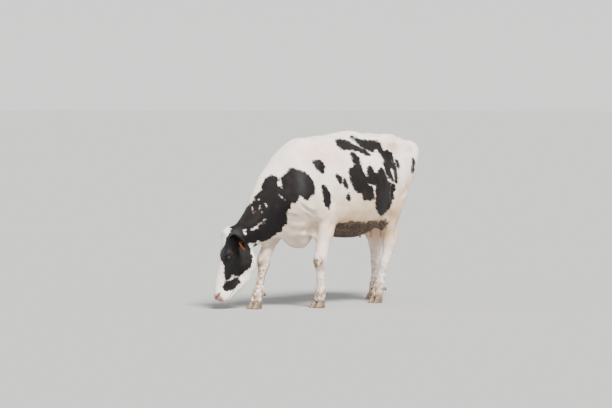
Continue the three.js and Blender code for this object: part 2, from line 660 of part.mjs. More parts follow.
// A plain tag hanging in front of the left ear, held by a post through it and a round button behind.
const TAG = { width: 46, height: 60, thickness: 2.6, post: 3.4, button: 11, behind: -17, front: 21 };
const TAG_PLACE = { along: 118, across: -20 };
function onEar(geometry) {
  const { root, along, across, front } = earFrame(LEFT_EAR);
  const place = add(root, add(scale(along, TAG_PLACE.along), scale(across, TAG_PLACE.across)));
  geometry.applyMatrix4(new THREE.Matrix4().makeBasis(new THREE.Vector3(...along),
    new THREE.Vector3(...across), new THREE.Vector3(...front)));
  geometry.translate(...place);
  return solidOf(geometry);
}
function rod(radius, from, to) {
  const cylinder = new THREE.CylinderGeometry(radius, radius, to - from, 8);
  cylinder.rotateX(Math.PI / 2);
  cylinder.translate(0, 0, (from + to) / 2);
  return onEar(cylinder);
}
function tagBody() {
  const half = TAG.width / 2;
  const outline = [[-half, -TAG.height], [half, -TAG.height], [half, -16], [10, 9], [-10, 9], [-half, -16]];
  const shape = new THREE.Shape(outline.map(([x, y]) => new THREE.Vector2(x, y)));
  const plate = new THREE.ExtrudeGeometry(shape, { depth: TAG.thickness, bevelEnabled: false });
  plate.translate(0, 0, TAG.front);
  const post = rod(TAG.post, TAG.behind - 1, TAG.front + 1);
  const button = rod(TAG.button, TAG.behind - TAG.thickness, TAG.behind);
  return onEar(plate).add(post).add(button);
}
const leftEar = largest(ear(LEFT_EAR, 0).subtract(rod(TAG.post + GAP, TAG.behind, TAG.front)));

// ---------------------------------------------------------------- the group

const COATS = { white: 0xf2ece4, black: 0x231f20, horn: 0x6f5c48, eye: 0x1c1512, udder: 0xd9a994,
  tag: 0xb8691f };
const cow = new THREE.Group();
function place(name, solid, colour, roughness = 0.8) {
  const mesh = solid.getMesh();
  const geometry = new THREE.BufferGeometry();
  geometry.setAttribute("position", new THREE.BufferAttribute(mesh.vertProperties, 3));
  geometry.setIndex(new THREE.BufferAttribute(mesh.triVerts, 1));
  geometry.computeVertexNormals();
  const material = new THREE.MeshStandardMaterial({ color: colour, roughness, metalness: 0 });
  const made = new THREE.Mesh(geometry, material);
  made.name = name;
  cow.add(made);
}

place("trunk", largest(trunk), COATS.white);
place("neck", largest(neck), COATS.black);
place("head", largest(head), COATS.black);
place("tail", tail, COATS.white);
place("tail_switch", tailSwitch, COATS.white);
place("udder", udder, COATS.udder);
for (const [leg, solid] of legSolids) {
  place(leg.name, solid, COATS.white);
  const hind = leg.name.includes("hind");
  for (const [toe, label] of [[1, "left"], [-1, "right"]]) {
    const hoof = claw(leg.foot, toe, hind ? 52 : 56, hind ? 112 : 116);
    const foot = leg.name.replace("_leg", "");
    place(`${foot}_${label}_hoof`, hoof, COATS.horn, 0.5);
    place(`${foot}_${label}_dewclaw`, dewclaw(leg.fetlock, toe, 0), COATS.horn, 0.6);
  }
}
for (const s of [1, -1]) place(s > 0 ? "left_eye" : "right_eye", eyeball(s, 0), COATS.eye, 0.1);
place("left_ear", leftEar, COATS.black);
place("right_ear", ear(RIGHT_EAR, 0), COATS.black);
place("ear_tag", tagBody(), COATS.tag, 0.6);

const box = new THREE.Box3().setFromObject(cow);
const middle = box.getCenter(new THREE.Vector3());
cow.position.set(-middle.x, -middle.y, -box.min.z);

export default cow;
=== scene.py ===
"""A life-size Holstein-Friesian cow, grazing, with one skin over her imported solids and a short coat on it.

Lengths are metres. Places on her are written in her own frame: +X the way her body faces, +Y her left,
+Z up, from a point on the floor under her shoulders; `here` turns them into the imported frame.
"""
import math

import bmesh
import bpy
import numpy as np
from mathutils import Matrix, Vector, noise


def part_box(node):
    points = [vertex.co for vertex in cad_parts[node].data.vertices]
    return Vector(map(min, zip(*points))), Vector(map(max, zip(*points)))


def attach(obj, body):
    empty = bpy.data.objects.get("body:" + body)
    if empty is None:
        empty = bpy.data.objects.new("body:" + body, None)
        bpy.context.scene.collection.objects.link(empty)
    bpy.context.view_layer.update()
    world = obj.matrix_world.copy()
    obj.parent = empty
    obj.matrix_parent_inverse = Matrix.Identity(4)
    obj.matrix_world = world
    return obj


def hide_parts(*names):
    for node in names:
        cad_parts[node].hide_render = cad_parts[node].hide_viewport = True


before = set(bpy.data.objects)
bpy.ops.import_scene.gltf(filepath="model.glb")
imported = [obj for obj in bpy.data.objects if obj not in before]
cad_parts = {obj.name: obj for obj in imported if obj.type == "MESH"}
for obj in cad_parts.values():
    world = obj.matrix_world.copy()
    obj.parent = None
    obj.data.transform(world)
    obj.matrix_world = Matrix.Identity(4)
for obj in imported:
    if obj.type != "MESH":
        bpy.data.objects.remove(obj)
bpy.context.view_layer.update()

# ------------------------------------------------------------------ her main places

UP = np.array([0.0, 0.0, 1.0])
POLL = np.array([1.066, -0.350, 0.0])       # the foot of the line that her face hangs on
NECK_ROOT = np.array([0.500, 0.0, 0.0])
NECK_YAW = math.radians(-30)
EYE_FORWARD = -0.037                        # the eyes' middle, ahead of that line
EYE_RADIUS = 0.020
COAT_DEPTH = 0.004
FINE_COAT = 0.002                           # on the face, ears, legs and tail


def unit(v):
    return v / np.linalg.norm(v)


def middle_of(node):
    low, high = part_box(node)
    return (np.array(low) + np.array(high)) / 2


LEFT_EYE, RIGHT_EYE = middle_of("left_eye"), middle_of("right_eye")
FACE_LEFT = unit(LEFT_EYE - RIGHT_EYE)
FACE_FORWARD = unit(np.cross(FACE_LEFT, UP))
FACE_FOOT = ((LEFT_EYE + RIGHT_EYE) / 2 - EYE_FORWARD * FACE_FORWARD) * [1, 1, 0]
SHIFT = FACE_FOOT - POLL
NECK_FORWARD = np.array([math.cos(NECK_YAW), math.sin(NECK_YAW), 0.0])
NECK_LEFT = np.cross(UP, NECK_FORWARD)


def here(points):
    """Places in her own frame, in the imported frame."""
    return np.asarray(points, float) + SHIFT


def on_face(points):
    """Places given as forward, left and height on her head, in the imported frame."""
    p = np.asarray(points, float)
    return FACE_FOOT + p[..., :1] * FACE_FORWARD + p[..., 1:2] * FACE_LEFT + p[..., 2:] * UP


def face_places(points):
    """The other way: forward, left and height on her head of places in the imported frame."""
    q = points - FACE_FOOT
    return np.stack([q @ FACE_FORWARD, q @ FACE_LEFT, q[:, 2]], 1)


# Each leg's joints, from the point where it leaves the body down to the coronet.
LEGS = {
    "left_fore": [[0.400, 0.200, 0.700], [0.440, 0.190, 0.392], [0.412, 0.172, 0.140], [0.425, 0.160, 0.058]],
    "right_fore": [[0.590, -0.190, 0.680], [0.728, -0.182, 0.388], [0.818, -0.162, 0.142],
                   [0.866, -0.155, 0.058]],
    "left_hind": [[-0.450, 0.200, 0.700], [-0.494, 0.186, 0.520], [-0.394, 0.158, 0.142],
                  [-0.364, 0.150, 0.058]],
    "right_hind": [[-0.620, -0.200, 0.700], [-0.760, -0.182, 0.505], [-0.732, -0.156, 0.142],
                   [-0.700, -0.150, 0.058]],
}
TAIL = [[-0.790, 0, 1.378], [-0.868, -0.001, 1.388], [-0.932, -0.004, 1.346], [-0.962, -0.012, 1.250],
        [-0.962, -0.032, 1.100], [-0.945, -0.062, 0.930], [-0.922, -0.092, 0.780], [-0.908, -0.112, 0.680],
        [-0.904, -0.118, 0.640]]
TEATS = [[-0.400, 0.062], [-0.400, -0.062], [-0.545, 0.050], [-0.545, -0.050]]


# ------------------------------------------------------------------ small mathematics

def ramp(x, low, high):
    """0 at low, 1 at high, with a smooth step between."""
    t = np.clip((np.asarray(x, float) - low) / (high - low), 0, 1)
    return t * t * (3 - 2 * t)


def spread(distance, width):
    return np.exp(-(distance / width) ** 2)


def away_from(points, place, stretch=1.0):
    """Distance of each point from a place, where each axis is divided by its stretch."""
    return np.linalg.norm((points - place) / stretch, axis=1)


def curve_through(points, steps=8):
    """A smooth line through the points, by Catmull and Rom's rule."""
    p = np.asarray(points, float)
    p = np.vstack([2 * p[0] - p[1], p, 2 * p[-1] - p[-2]])
    t = np.linspace(0, 1, steps, endpoint=False)[:, None]
    a, b, c, d = (p[i:len(p) - 3 + i, None] for i in range(4))
    q = 0.5 * (2 * b + (c - a) * t + (2 * a - 5 * b + 4 * c - d) * t ** 2 + (3 * b - a - 3 * c + d) * t ** 3)
    return np.vstack([q.reshape(-1, p.shape[1]), p[-2:-1]])


def along_path(points, path, flatten=None):
    """Distance of each point from a path, and how far along it, 0 to 1; `flatten` is a direction that
    distances leave out."""
    q, line = points, np.asarray(path, float)
    if flatten is not None:
        q = q - np.outer(q @ flatten, flatten)
        line = line - np.outer(line @ flatten, flatten)
    starts, spans = line[:-1], np.diff(line, axis=0)
    lengths = np.linalg.norm(spans, axis=1)
    before = np.concatenate([[0], np.cumsum(lengths)])
    best = np.full(len(q), np.inf)
    place = np.zeros(len(q))
    for start, span, length, done in zip(starts, spans, lengths, before):
        if length < 1e-9:
            continue
        t = np.clip((q - start) @ span / length ** 2, 0, 1)
        d = np.linalg.norm(q - start - t[:, None] * span, axis=1)
        nearer = d < best
        best[nearer] = d[nearer]
        place[nearer] = (done + t[nearer] * length) / before[-1]
    return best, place


def point_on(path, t):
    """The place at each t, 0 to 1, of a path's length, and the path's direction there."""
    line = np.asarray(path, float)
    spans = np.diff(line, axis=0)
    before = np.concatenate([[0], np.cumsum(np.linalg.norm(spans, axis=1))])
    at = np.asarray(t) * before[-1]
    place = np.stack([np.interp(at, before, line[:, k]) for k in range(3)], -1)
    k = np.clip(np.searchsorted(before, at, side="right") - 1, 0, len(spans) - 1)
    return place, spans[k] / np.linalg.norm(spans[k], axis=-1, keepdims=True)


def grain(points, size, seed=0.0):
    """Smooth noise, about -1 to 1, at each point."""
    scaled = points / size + seed * 17.31
    return np.array([noise.noise(Vector(p)) for p in scaled])


# ------------------------------------------------------------------ the skin as arrays

class Skin:
    """A mesh's points, normals and edges, for shaping by sums over arrays."""

    def __init__(self, mesh):
        self.mesh = mesh
        self.points = read_values(mesh.vertices, "co", 3)
        a, b = read_values(mesh.edges, "vertices", 2, int).T
        self.ends = np.concatenate([a, b]), np.concatenate([b, a])
        self.degree = np.bincount(self.ends[0], minlength=len(self.points))[:, None]

    def mean(self, values):
        """The mean of each point's neighbours."""
        a, b = self.ends
        sums = np.stack([np.bincount(a, v[b], minlength=len(values)) for v in values.T], 1)
        return sums / self.degree

    def relax(self, passes, share=0.5, where=None):
        weight = share if where is None else share * where[:, None]
        for _ in range(passes):
            self.points += weight * (self.mean(self.points) - self.points)

    def fair(self, passes, where=None):
        """Smooths without shrinking, by turns of in and out."""
        for _ in range(passes):
            self.relax(1, 0.5, where)
            self.relax(1, -0.53, where)

    def normals(self):
        self.store()
        return read_values(self.mesh.vertices, "normal", 3)

    def push(self, amount):
        self.points += self.normals() * amount[:, None]

    def store(self):
        self.mesh.vertices.foreach_set("co", self.points.ravel())
        self.mesh.update()


def merged_copy(node, swell):
    """A CAD node's mesh with its loose triangles joined, as vertices and faces."""
    bm = bmesh.new()
    bm.from_mesh(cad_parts[node].data)
    bmesh.ops.remove_doubles(bm, verts=bm.verts, dist=1e-5)
    bm.normal_update()
    for v in bm.verts:
        v.co += v.normal * swell
    verts = [tuple(v.co) for v in bm.verts]
    faces = [[v.index for v in f.verts] for f in bm.faces]
    bm.free()
    return verts, faces


def new_object(name, data):
    made = bpy.data.objects.new(name, data)
    bpy.context.collection.objects.link(made)
    return made


def worked_in(obj):
    """A plain mesh of the object with its modifiers worked in."""
    graph = bpy.context.evaluated_depsgraph_get()
    return bpy.data.meshes.new_from_object(obj.evaluated_get(graph))


def apply_modifiers(obj):
    """Works the object's modifiers into its mesh, and removes them."""
    old, mesh = obj.data, worked_in(obj)
    obj.modifiers.clear()
    obj.data = mesh
    bpy.data.meshes.remove(old)


def even_squares(obj, step):
    """Remakes the object's solids as one closed surface of squares, `step` wide."""
    remesh = obj.modifiers.new("even", "REMESH")
    remesh.mode = "VOXEL"
    remesh.voxel_size = step
    apply_modifiers(obj)


def solids_joined(name, solids):
    """An object that holds several solids, each given as vertices and faces."""
    verts, faces = [], []
    for v, f in solids:
        faces += [[i + len(verts) for i in face] for face in f]
        verts += v
    mesh = bpy.data.meshes.new(name)
    mesh.from_pydata(verts, [], faces)
    return new_object(name, mesh)


def closed_mesh(name, verts, faces):
    """A mesh whose faces are all turned outwards."""
    mesh = bpy.data.meshes.new(name)
    mesh.from_pydata([tuple(v) for v in verts], [], faces)
    bm = bmesh.new()
    bm.from_mesh(mesh)
    bmesh.ops.recalc_face_normals(bm, faces=bm.faces)
    bm.to_mesh(mesh)
    bm.free()
    return mesh


def shade_smooth(obj):
    for face in obj.data.polygons:
        face.use_smooth = True


def write_values(mesh, label, values):
    """Keeps one number for each of the mesh's points, for the materials to read."""
    layer = mesh.attributes.new(label, "FLOAT", "POINT")
    layer.data.foreach_set("value", np.ascontiguousarray(values, dtype=np.float32))


def read_values(things, label, width, kind=float):
    """One row of numbers from each of a mesh's points, corners or edges."""
    values = np.zeros(len(things) * width, kind)
    things.foreach_get(label, values)
    return values.reshape(-1, width) if width > 1 else values


FLESH = ["trunk", "neck", "head", "tail", "udder"] + [f"{leg}_leg" for leg in LEGS]
OVERLAP = 0.0015        # how far the solids are swollen, so that they meet
SKIN_STEP = 0.0132


EYE_SOCKET = EYE_RADIUS + 0.001
EAR_SOCKET = 0.040


def filled_sockets():
    """Balls that fill the sockets the eyes and ears sit in, as centres and radii."""
    balls = [(eye, EYE_SOCKET) for eye in (LEFT_EYE, RIGHT_EYE)]
    return balls + [(on_face([-0.092, side * 0.052, 0.596]), EAR_SOCKET) for side in (1, -1)]


def ball_solid(place, radius):
    ball = bmesh.new()
    bmesh.ops.create_icosphere(ball, subdivisions=3, radius=radius)
    faces = [[v.index for v in f.verts] for f in ball.faces]
    verts = [tuple(place + np.array(v.co)) for v in ball.verts]
    ball.free()
    return verts, faces


def joined_flesh():
    """All flesh but the ears as one closed surface of even squares."""
    solids = [merged_copy(node, OVERLAP) for node in FLESH]
    obj = solids_joined("skin", solids + [ball_solid(*ball) for ball in filled_sockets()])
    even_squares(obj, SKIN_STEP)
    return obj


def refine(mesh, chosen):
    """Splits the faces for which chosen(centres) is true into four."""
    bm = bmesh.new()
    bm.from_mesh(mesh)
    centres = np.array([f.calc_center_median() for f in bm.faces])
    wanted = chosen(centres)
    edges = {e for f, w in zip(bm.faces, wanted) if w for e in f.edges}
    bmesh.ops.subdivide_edges(bm, edges=list(edges), cuts=1, use_grid_fill=True)
    bmesh.ops.triangulate(bm, faces=[f for f in bm.faces if len(f.verts) > 4])
    bm.to_mesh(mesh)
    bm.free()


def near_tail(points):
    return along_path(points, curve_through(here(TAIL)))


def tail_radius(t):
    return 0.036 - 0.024 * np.clip(t, 0, 1) ** 0.62


# ------------------------------------------------------------------ stage

FLOOR_HALF = 400.0


def make_stage():
    floor_mesh = bpy.data.meshes.new("floor")
    half = FLOOR_HALF
    floor_mesh.from_pydata([(-half, -half, 0), (half, -half, 0), (half, half, 0), (-half, half, 0)], [],
                           [(0, 1, 2, 3)])
    floor = new_object("floor", floor_mesh)
    pale = bpy.data.materials.new("pale_floor")
    pale.use_nodes = True
    shader = pale.node_tree.nodes["Principled BSDF"]
    shader.inputs["Base Color"].default_value = (0.33, 0.33, 0.325, 1)
    shader.inputs["Roughness"].default_value = 0.9
    floor_mesh.materials.append(pale)


VIEW_AIM = here([0.164, -0.196, 0.853])
VIEW_DISTANCE = 25.0
VIEW_TURN = math.radians(130)
VIEW_RISE = math.radians(2)
VIEW_LENS = 173.0
VIEW_FILM = 36.0        # both in millimetres, as a camera has them
VIEW_BACK = np.array([math.sin(VIEW_TURN) * math.cos(VIEW_RISE), -math.cos(VIEW_TURN) * math.cos(VIEW_RISE),
                      math.sin(VIEW_RISE)])


def make_camera():
    camera = new_object("camera", bpy.data.cameras.new("camera"))
    camera.location = VIEW_AIM + VIEW_DISTANCE * VIEW_BACK
    camera.rotation_euler = Vector(-VIEW_BACK).to_track_quat("-Z", "Y").to_euler()
    camera.data.lens = VIEW_LENS
    camera.data.clip_end = 2000
    bpy.context.scene.camera = camera


def sun_light(name, way, strength, spread_angle, colour=(1, 1, 1)):
    """A wide, even lamp that shines from `way`."""
    light = bpy.data.lights.new(name, "SUN")
    light.energy = strength
    light.angle = math.radians(spread_angle)
    light.color = colour
    lamp = new_object(name, light)
    lamp.rotation_euler = Vector(way).to_track_quat("Z", "Y").to_euler()


def make_light():
    """A soft key from high on her left, and a room that is as bright as the floor where they meet."""
    world = bpy.data.worlds.new("studio")
    bpy.context.scene.world = world
    world.use_nodes = True
    world.node_tree.nodes.clear()
    sheet = Sheet(world.node_tree)
    place = sheet.put("ShaderNodeTexCoord").outputs["Generated"]
    rise = sheet.put("ShaderNodeSeparateXYZ", _0=place).outputs["Z"]
    room = sheet.blend(sheet.step(rise, 0.0, 0.45), (1.29, 1.29, 1.27, 1), (0.56, 0.58, 0.61, 1))
    background = sheet.put("ShaderNodeBackground", Color=room, Strength=1.0)
    sheet.put("ShaderNodeOutputWorld", Surface=background.outputs[0])
    sun_light("key", (0.35, 0.75, 1.0), 11.0, 22, (1.0, 0.98, 0.95))
    sun_light("fill", (1.0, -0.4, 0.5), 1.2, 60)


# ------------------------------------------------------------------ shaping the flesh

HEAD_TOP = 0.70
# heights, and how far back her head reaches at each
JAW_BACK = ([0.08, 0.16, 0.20, 0.25, 0.30, 0.35, 0.48],
            [-0.160, -0.218, -0.246, -0.270, -0.287, -0.298, -0.310])
# how far the loin sinks, from behind the hips forward
LOIN_SINK = ([-0.66, -0.57, -0.46, -0.36, -0.28, -0.19], [0.0, 0.013, 0.022, 0.022, 0.013, 0.0])


def head_share(points):
    """1 on her head, 0 behind it."""
    q = face_places(points)
    back = np.interp(q[:, 2], *JAW_BACK)
    reach = 0.005 + 0.045 * ramp(q[:, 2], 0.42, 0.50)
    return ramp(q[:, 0], back - reach, back + reach) * ramp(q[:, 2], HEAD_TOP + 0.03, HEAD_TOP - 0.05)


def leg_share(points):
    """1 below the elbows and stifles, 0 on the body and head."""
    low = ramp(points[:, 2], 0.62, 0.50)
    return low * (1 - (head_share(points) > 0.2))


def tidy_tail(skin):
    """Sets the tail's points on a round taper, which the even squares are too coarse for."""
    path = curve_through(here(TAIL))
    distance, t = along_path(skin.points, path)
    on_it = ramp(distance, 0.075, 0.05) * ramp(t, 0.13, 0.24)
    place, direction = point_on(path, t)
    off = skin.points - place
    off -= (off * direction).sum(1)[:, None] * direction
    reach = np.linalg.norm(off, axis=1)[:, None]
    radius = (tail_radius(t * 1.04) - FINE_COAT)[:, None]
    wanted = place + off / np.maximum(reach, 1e-6) * radius
    skin.points += on_it[:, None] * (wanted - skin.points)
    return on_it


def shape_back(skin):
    """Sinks the loin's end before the rump, so that the hips and the tail's root stand up from it."""
    own = skin.points - SHIFT
    sink = np.interp(own[:, 0], *LOIN_SINK)
    rise = 0.007 * spread(away_from(own, [-0.775, 0.0, 1.41], [0.05, 0.045, 0.06]), 1.0)
    share = ramp(own[:, 2], 1.22, 1.36) * ramp(np.abs(own[:, 1]), 0.24, 0.10)
    skin.points[:, 2] += rise - sink * share


def shape_brisket(skin):
    """Draws the floor of the chest up, so that the brisket's pouch hangs from it between the forelegs."""
    own = skin.points - SHIFT
    ahead = own[:, 0] - 0.481
    length = np.where(ahead > 0, 0.200, 0.128)
    floor = 0.487 + 0.085 * ((ahead / length) ** 2 + (own[:, 1] / 0.080) ** 2)
    cap = 0.612 - 0.030 * ramp(own[:, 0], 0.60, 0.75) + 0.10 * own[:, 1] ** 2
    floor = np.minimum(floor, cap)
    share = ramp(np.abs(own[:, 1]), 0.126, 0.108) * ramp(own[:, 0], 0.17, 0.27) * ramp(own[:, 0], 0.80, 0.70)
    share = share * ramp(own[:, 2], 0.75, 0.70) * (own[:, 2] > 0.46)
    lift = np.clip(floor - own[:, 2], 0, None)
    skin.points[:, 2] += share * lift
    near = ramp(away_from(own, [0.47, 0, 0.57], [1.5, 0.9, 1]), 0.17, 0.12)
    skin.relax(4, 0.5, near)


class Carver:
    """Raises and sinks a skin in strokes that follow lines drawn on it."""

    def __init__(self, skin):
        self.skin = skin
        self.turn = skin.normals()
        self.amount = np.zeros(len(skin.points))

    def stroke(self, path, width, height, facing=None, ends=0.15, squareness=2.0):
        """A ridge (or a furrow, where height is less than 0) along the path, on what faces `facing`."""
        distance, t = along_path(self.skin.points, path, facing)
        shape = np.exp(-(distance / width) ** squareness)
        if ends:
            shape *= ramp(t, -0.02, ends) * ramp(t, 1.02, 1 - ends)
        if facing is not None:
            shape *= ramp(self.turn @ facing, 0.05, 0.45)
        self.amount += height * shape

    def dab(self, place, radius, height, facing=None, squareness=2.0):
        """A round rise or hollow at one place."""
        q = self.skin.points - place
        if facing is not None:
            q = q - np.outer(q @ facing, facing)
        shape = np.exp(-(np.linalg.norm(q / radius, axis=1)) ** squareness)
        if facing is not None:
            shape *= ramp(self.turn @ facing, 0.05, 0.45)
        self.amount += height * shape

    def press(self):
        self.skin.points += self.turn * self.amount[:, None]
        self.__init__(self.skin)


# Creases and swells of her left side: places in the stage camera's 612 x 408 frame, then half-width and
# height in metres.
SEEN_FOLDS = [
    ([(299.0, 201.5), (303.5, 207.0), (308.5, 210.5), (313.5, 213.5), (317.0, 218.5)], 0.010, -0.014),
    ([(304.0, 202.0), (309.5, 205.5), (314.5, 208.0)], 0.026, -0.010),
    ([(302.0, 199.5), (306.5, 204.5), (312.0, 208.0), (318.0, 211.5)], 0.020, 0.012),
    ([(286.5, 214.5), (291.5, 215.2), (298.5, 217.4)], 0.011, -0.010),
    ([(287.0, 211.5), (293.0, 212.0), (300.0, 214.0)], 0.012, 0.006),
    ([(304.0, 212.0), (307.5, 216.0), (309.5, 220.5)], 0.010, -0.009),
    ([(299.5, 232.6), (303.0, 230.6), (307.5, 229.2), (312.5, 229.0)], 0.013, -0.016),
    ([(300.0, 236.5), (305.0, 234.0), (310.0, 233.0)], 0.015, 0.012),
    ([(288.5, 222.0), (293.0, 224.5), (300.0, 225.5), (308.0, 222.5)], 0.022, 0.009),
    ([(315.2, 221.0), (315.6, 228.0), (315.0, 236.0)], 0.013, -0.022),
    ([(293.5, 241.5), (296.5, 242.3), (299.5, 241.3)], 0.008, -0.012),
    ([(399.0, 197.0), (403.0, 195.0), (406.0, 191.0), (407.5, 184.0)], 0.016, -0.012),
    ([(386.0, 222.0), (383.8, 229.0), (383.5, 236.0)], 0.014, -0.012),
    ([(389.0, 196.0), (392.5, 206.0), (391.0, 216.0)], 0.030, 0.010),
    ([(331.0, 212.0), (330.5, 205.0), (334.0, 196.0)], 0.030, -0.010),
    ([(321.0, 214.0), (322.5, 222.0), (321.5, 232.0)], 0.030, 0.008),
    ([(333.0, 222.0), (330.0, 229.0), (328.5, 236.0)], 0.011, -0.009),
    ([(282.0, 232.5), (286.0, 237.0), (289.5, 241.5)], 0.016, -0.010),
]


def carve_seen_folds(skin):
    turn = skin.normals()
    places, span = view_places(skin.points)
    facing = ramp(turn @ VIEW_BACK, 0.02, 0.30)
    amount = np.zeros(len(skin.points))
    for path, width, height in SEEN_FOLDS:
        low, high = np.min(path, 0) - 12, np.max(path, 0) + 12
        near = ((places > low) & (places < high)).all(1) & (facing > 0)
        distance, t = along_path(places[near], curve_through(path))
        fade = ramp(t, -0.04, 0.36) * ramp(t, 1.04, 0.64)
        amount[near] += height * fade * spread(distance * span[near], width)
    skin.points += turn * (amount * facing)[:, None]


def side_path(points, side):
    """A line drawn on her left side as (x, z), put on either side."""
    return here([[x, 0.3 * side, z] for x, z in points])


def carve_body(skin):
    carver = Carver(skin)
    for side in (1, -1):
        out = np.array([0.0, side, 0.0])

        def on_side(line, width, height, ends=0.15):
            """A stroke on this side of her, along a line given as (x, z)."""
            carver.stroke(side_path(line, side), width, height, out, ends)

        # the hollow of the flank, the point of the hip and the thurl
        carver.dab(here([-0.285, side * 0.2, 1.270]), np.array([0.12, 0.3, 0.085]), -0.022, out)
        on_side([(-0.40, 1.385), (-0.30, 1.375), (-0.19, 1.372)], 0.022, 0.007)
        carver.dab(here([-0.410, side * 0.26, 1.375]), 0.042, 0.016)
        carver.dab(here([-0.865, side * 0.115, 1.290]), 0.040, 0.010)
        carver.stroke(here([[-0.70, side * 0.09, 1.40], [-0.80, side * 0.07, 1.385],
                            [-0.88, side * 0.05, 1.35]]), 0.026, -0.010)
        carver.dab(here([-0.690, side * 0.2, 1.235]), 0.085, 0.008, out)
        on_side([(-0.45, 1.33), (-0.60, 1.29), (-0.80, 1.29)], 0.035, -0.008)
        # the last ribs
        for k in range(6):
            top = -0.16 + 0.095 * k
            on_side([(top, 1.26), (top - 0.05, 1.08), (top - 0.06, 0.92)], 0.020, 0.0035, 0.35)
        # behind the shoulder, the blade's spine and the muscle over the elbow
        on_side([(0.27, 1.30), (0.235, 1.10), (0.20, 0.90), (0.22, 0.80)], 0.048, -0.013, 0.3)
        on_side([(0.44, 1.30), (0.53, 1.12), (0.62, 0.96)], 0.026, 0.006, 0.25)
        on_side([(0.36, 1.14), (0.33, 0.98), (0.30, 0.86)], 0.060, 0.008, 0.3)
        on_side([(0.40, 1.02), (0.46, 0.93), (0.52, 0.86)], 0.018, -0.006, 0.3)
        # the thigh: its two muscles, the hollow above the hock and the flank fold
        on_side([(-0.84, 1.25), (-0.80, 1.06), (-0.70, 0.86), (-0.62, 0.74)], 0.020, -0.008, 0.25)
        carver.dab(here([-0.55, side * 0.2, 1.02]), np.array([0.12, 0.3, 0.18]), 0.010, out)
        on_side([(-0.36, 1.06), (-0.345, 0.93), (-0.37, 0.82)], 0.030, -0.010, 0.3)
        on_side([(-0.42, 1.10), (-0.40, 0.96), (-0.405, 0.83)], 0.022, 0.007, 0.3)
        # the milk vein, wandering forward from the udder
        carver.stroke(here([[-0.32, side * 0.13, 0.66], [-0.20, side * 0.16, 0.625],
                            [-0.08, side * 0.15, 0.605], [0.02, side * 0.17, 0.612],
                            [0.12, side * 0.15, 0.640]]), 0.012, 0.006)
    # the chine, with a shallow valley on each side over the loin
    carver.stroke(here([[0.35, 0, 1.43], [-0.05, 0, 1.455], [-0.45, 0, 1.44], [-0.80, 0, 1.41]]),
                  0.020, 0.005)
    for side in (1, -1):
        carver.stroke(here([[0.30, side * 0.065, 1.42], [-0.10, side * 0.08, 1.44],
                            [-0.45, side * 0.10, 1.43]]), 0.028, -0.006)
    # folds of the brisket's far side
    for reach, depth in ((0.00, 0.012), (0.055, 0.010), (0.115, 0.007)):
        carver.stroke(here([[0.64 - reach, -0.115, 0.76], [0.61 - reach, -0.10, 0.64],
                            [0.58 - reach, -0.05, 0.54]]), 0.016, -depth, None, 0.3)
    carver.press()


# ------------------------------------------------------------------ shaping the head

# Places on her head are forward, left and height; `side` mirrors them.
LID_LENGTH, LID_ABOVE, LID_BELOW = 0.0205, 0.0135, 0.0112
LID_DEPTH = 0.0024


def face_line(side, *points):
    return on_face([[f, side * l, z] for f, l, z in points])


def on_skin(points, path, passes=2):
    """The path's places moved to the nearest of the points, and eased."""
    found = np.array([points[np.argmin(((points - p) ** 2).sum(1))] for p in np.asarray(path)])
    for _ in range(passes):
        found[1:-1] = 0.5 * found[1:-1] + 0.25 * (found[:-2] + found[2:])
    return found


def mouth_line(points, side):
    return on_skin(points, curve_through(face_line(
        side, (0.000, 0.004, 0.058), (-0.016, 0.026, 0.066), (-0.040, 0.048, 0.088), (-0.066, 0.056, 0.118),
        (-0.088, 0.056, 0.150))))


def nostril_line(points, side):
    return on_skin(points, curve_through(face_line(
        side, (0.064, 0.020, 0.094), (0.060, 0.036, 0.100), (0.048, 0.050, 0.114), (0.030, 0.058, 0.134))))


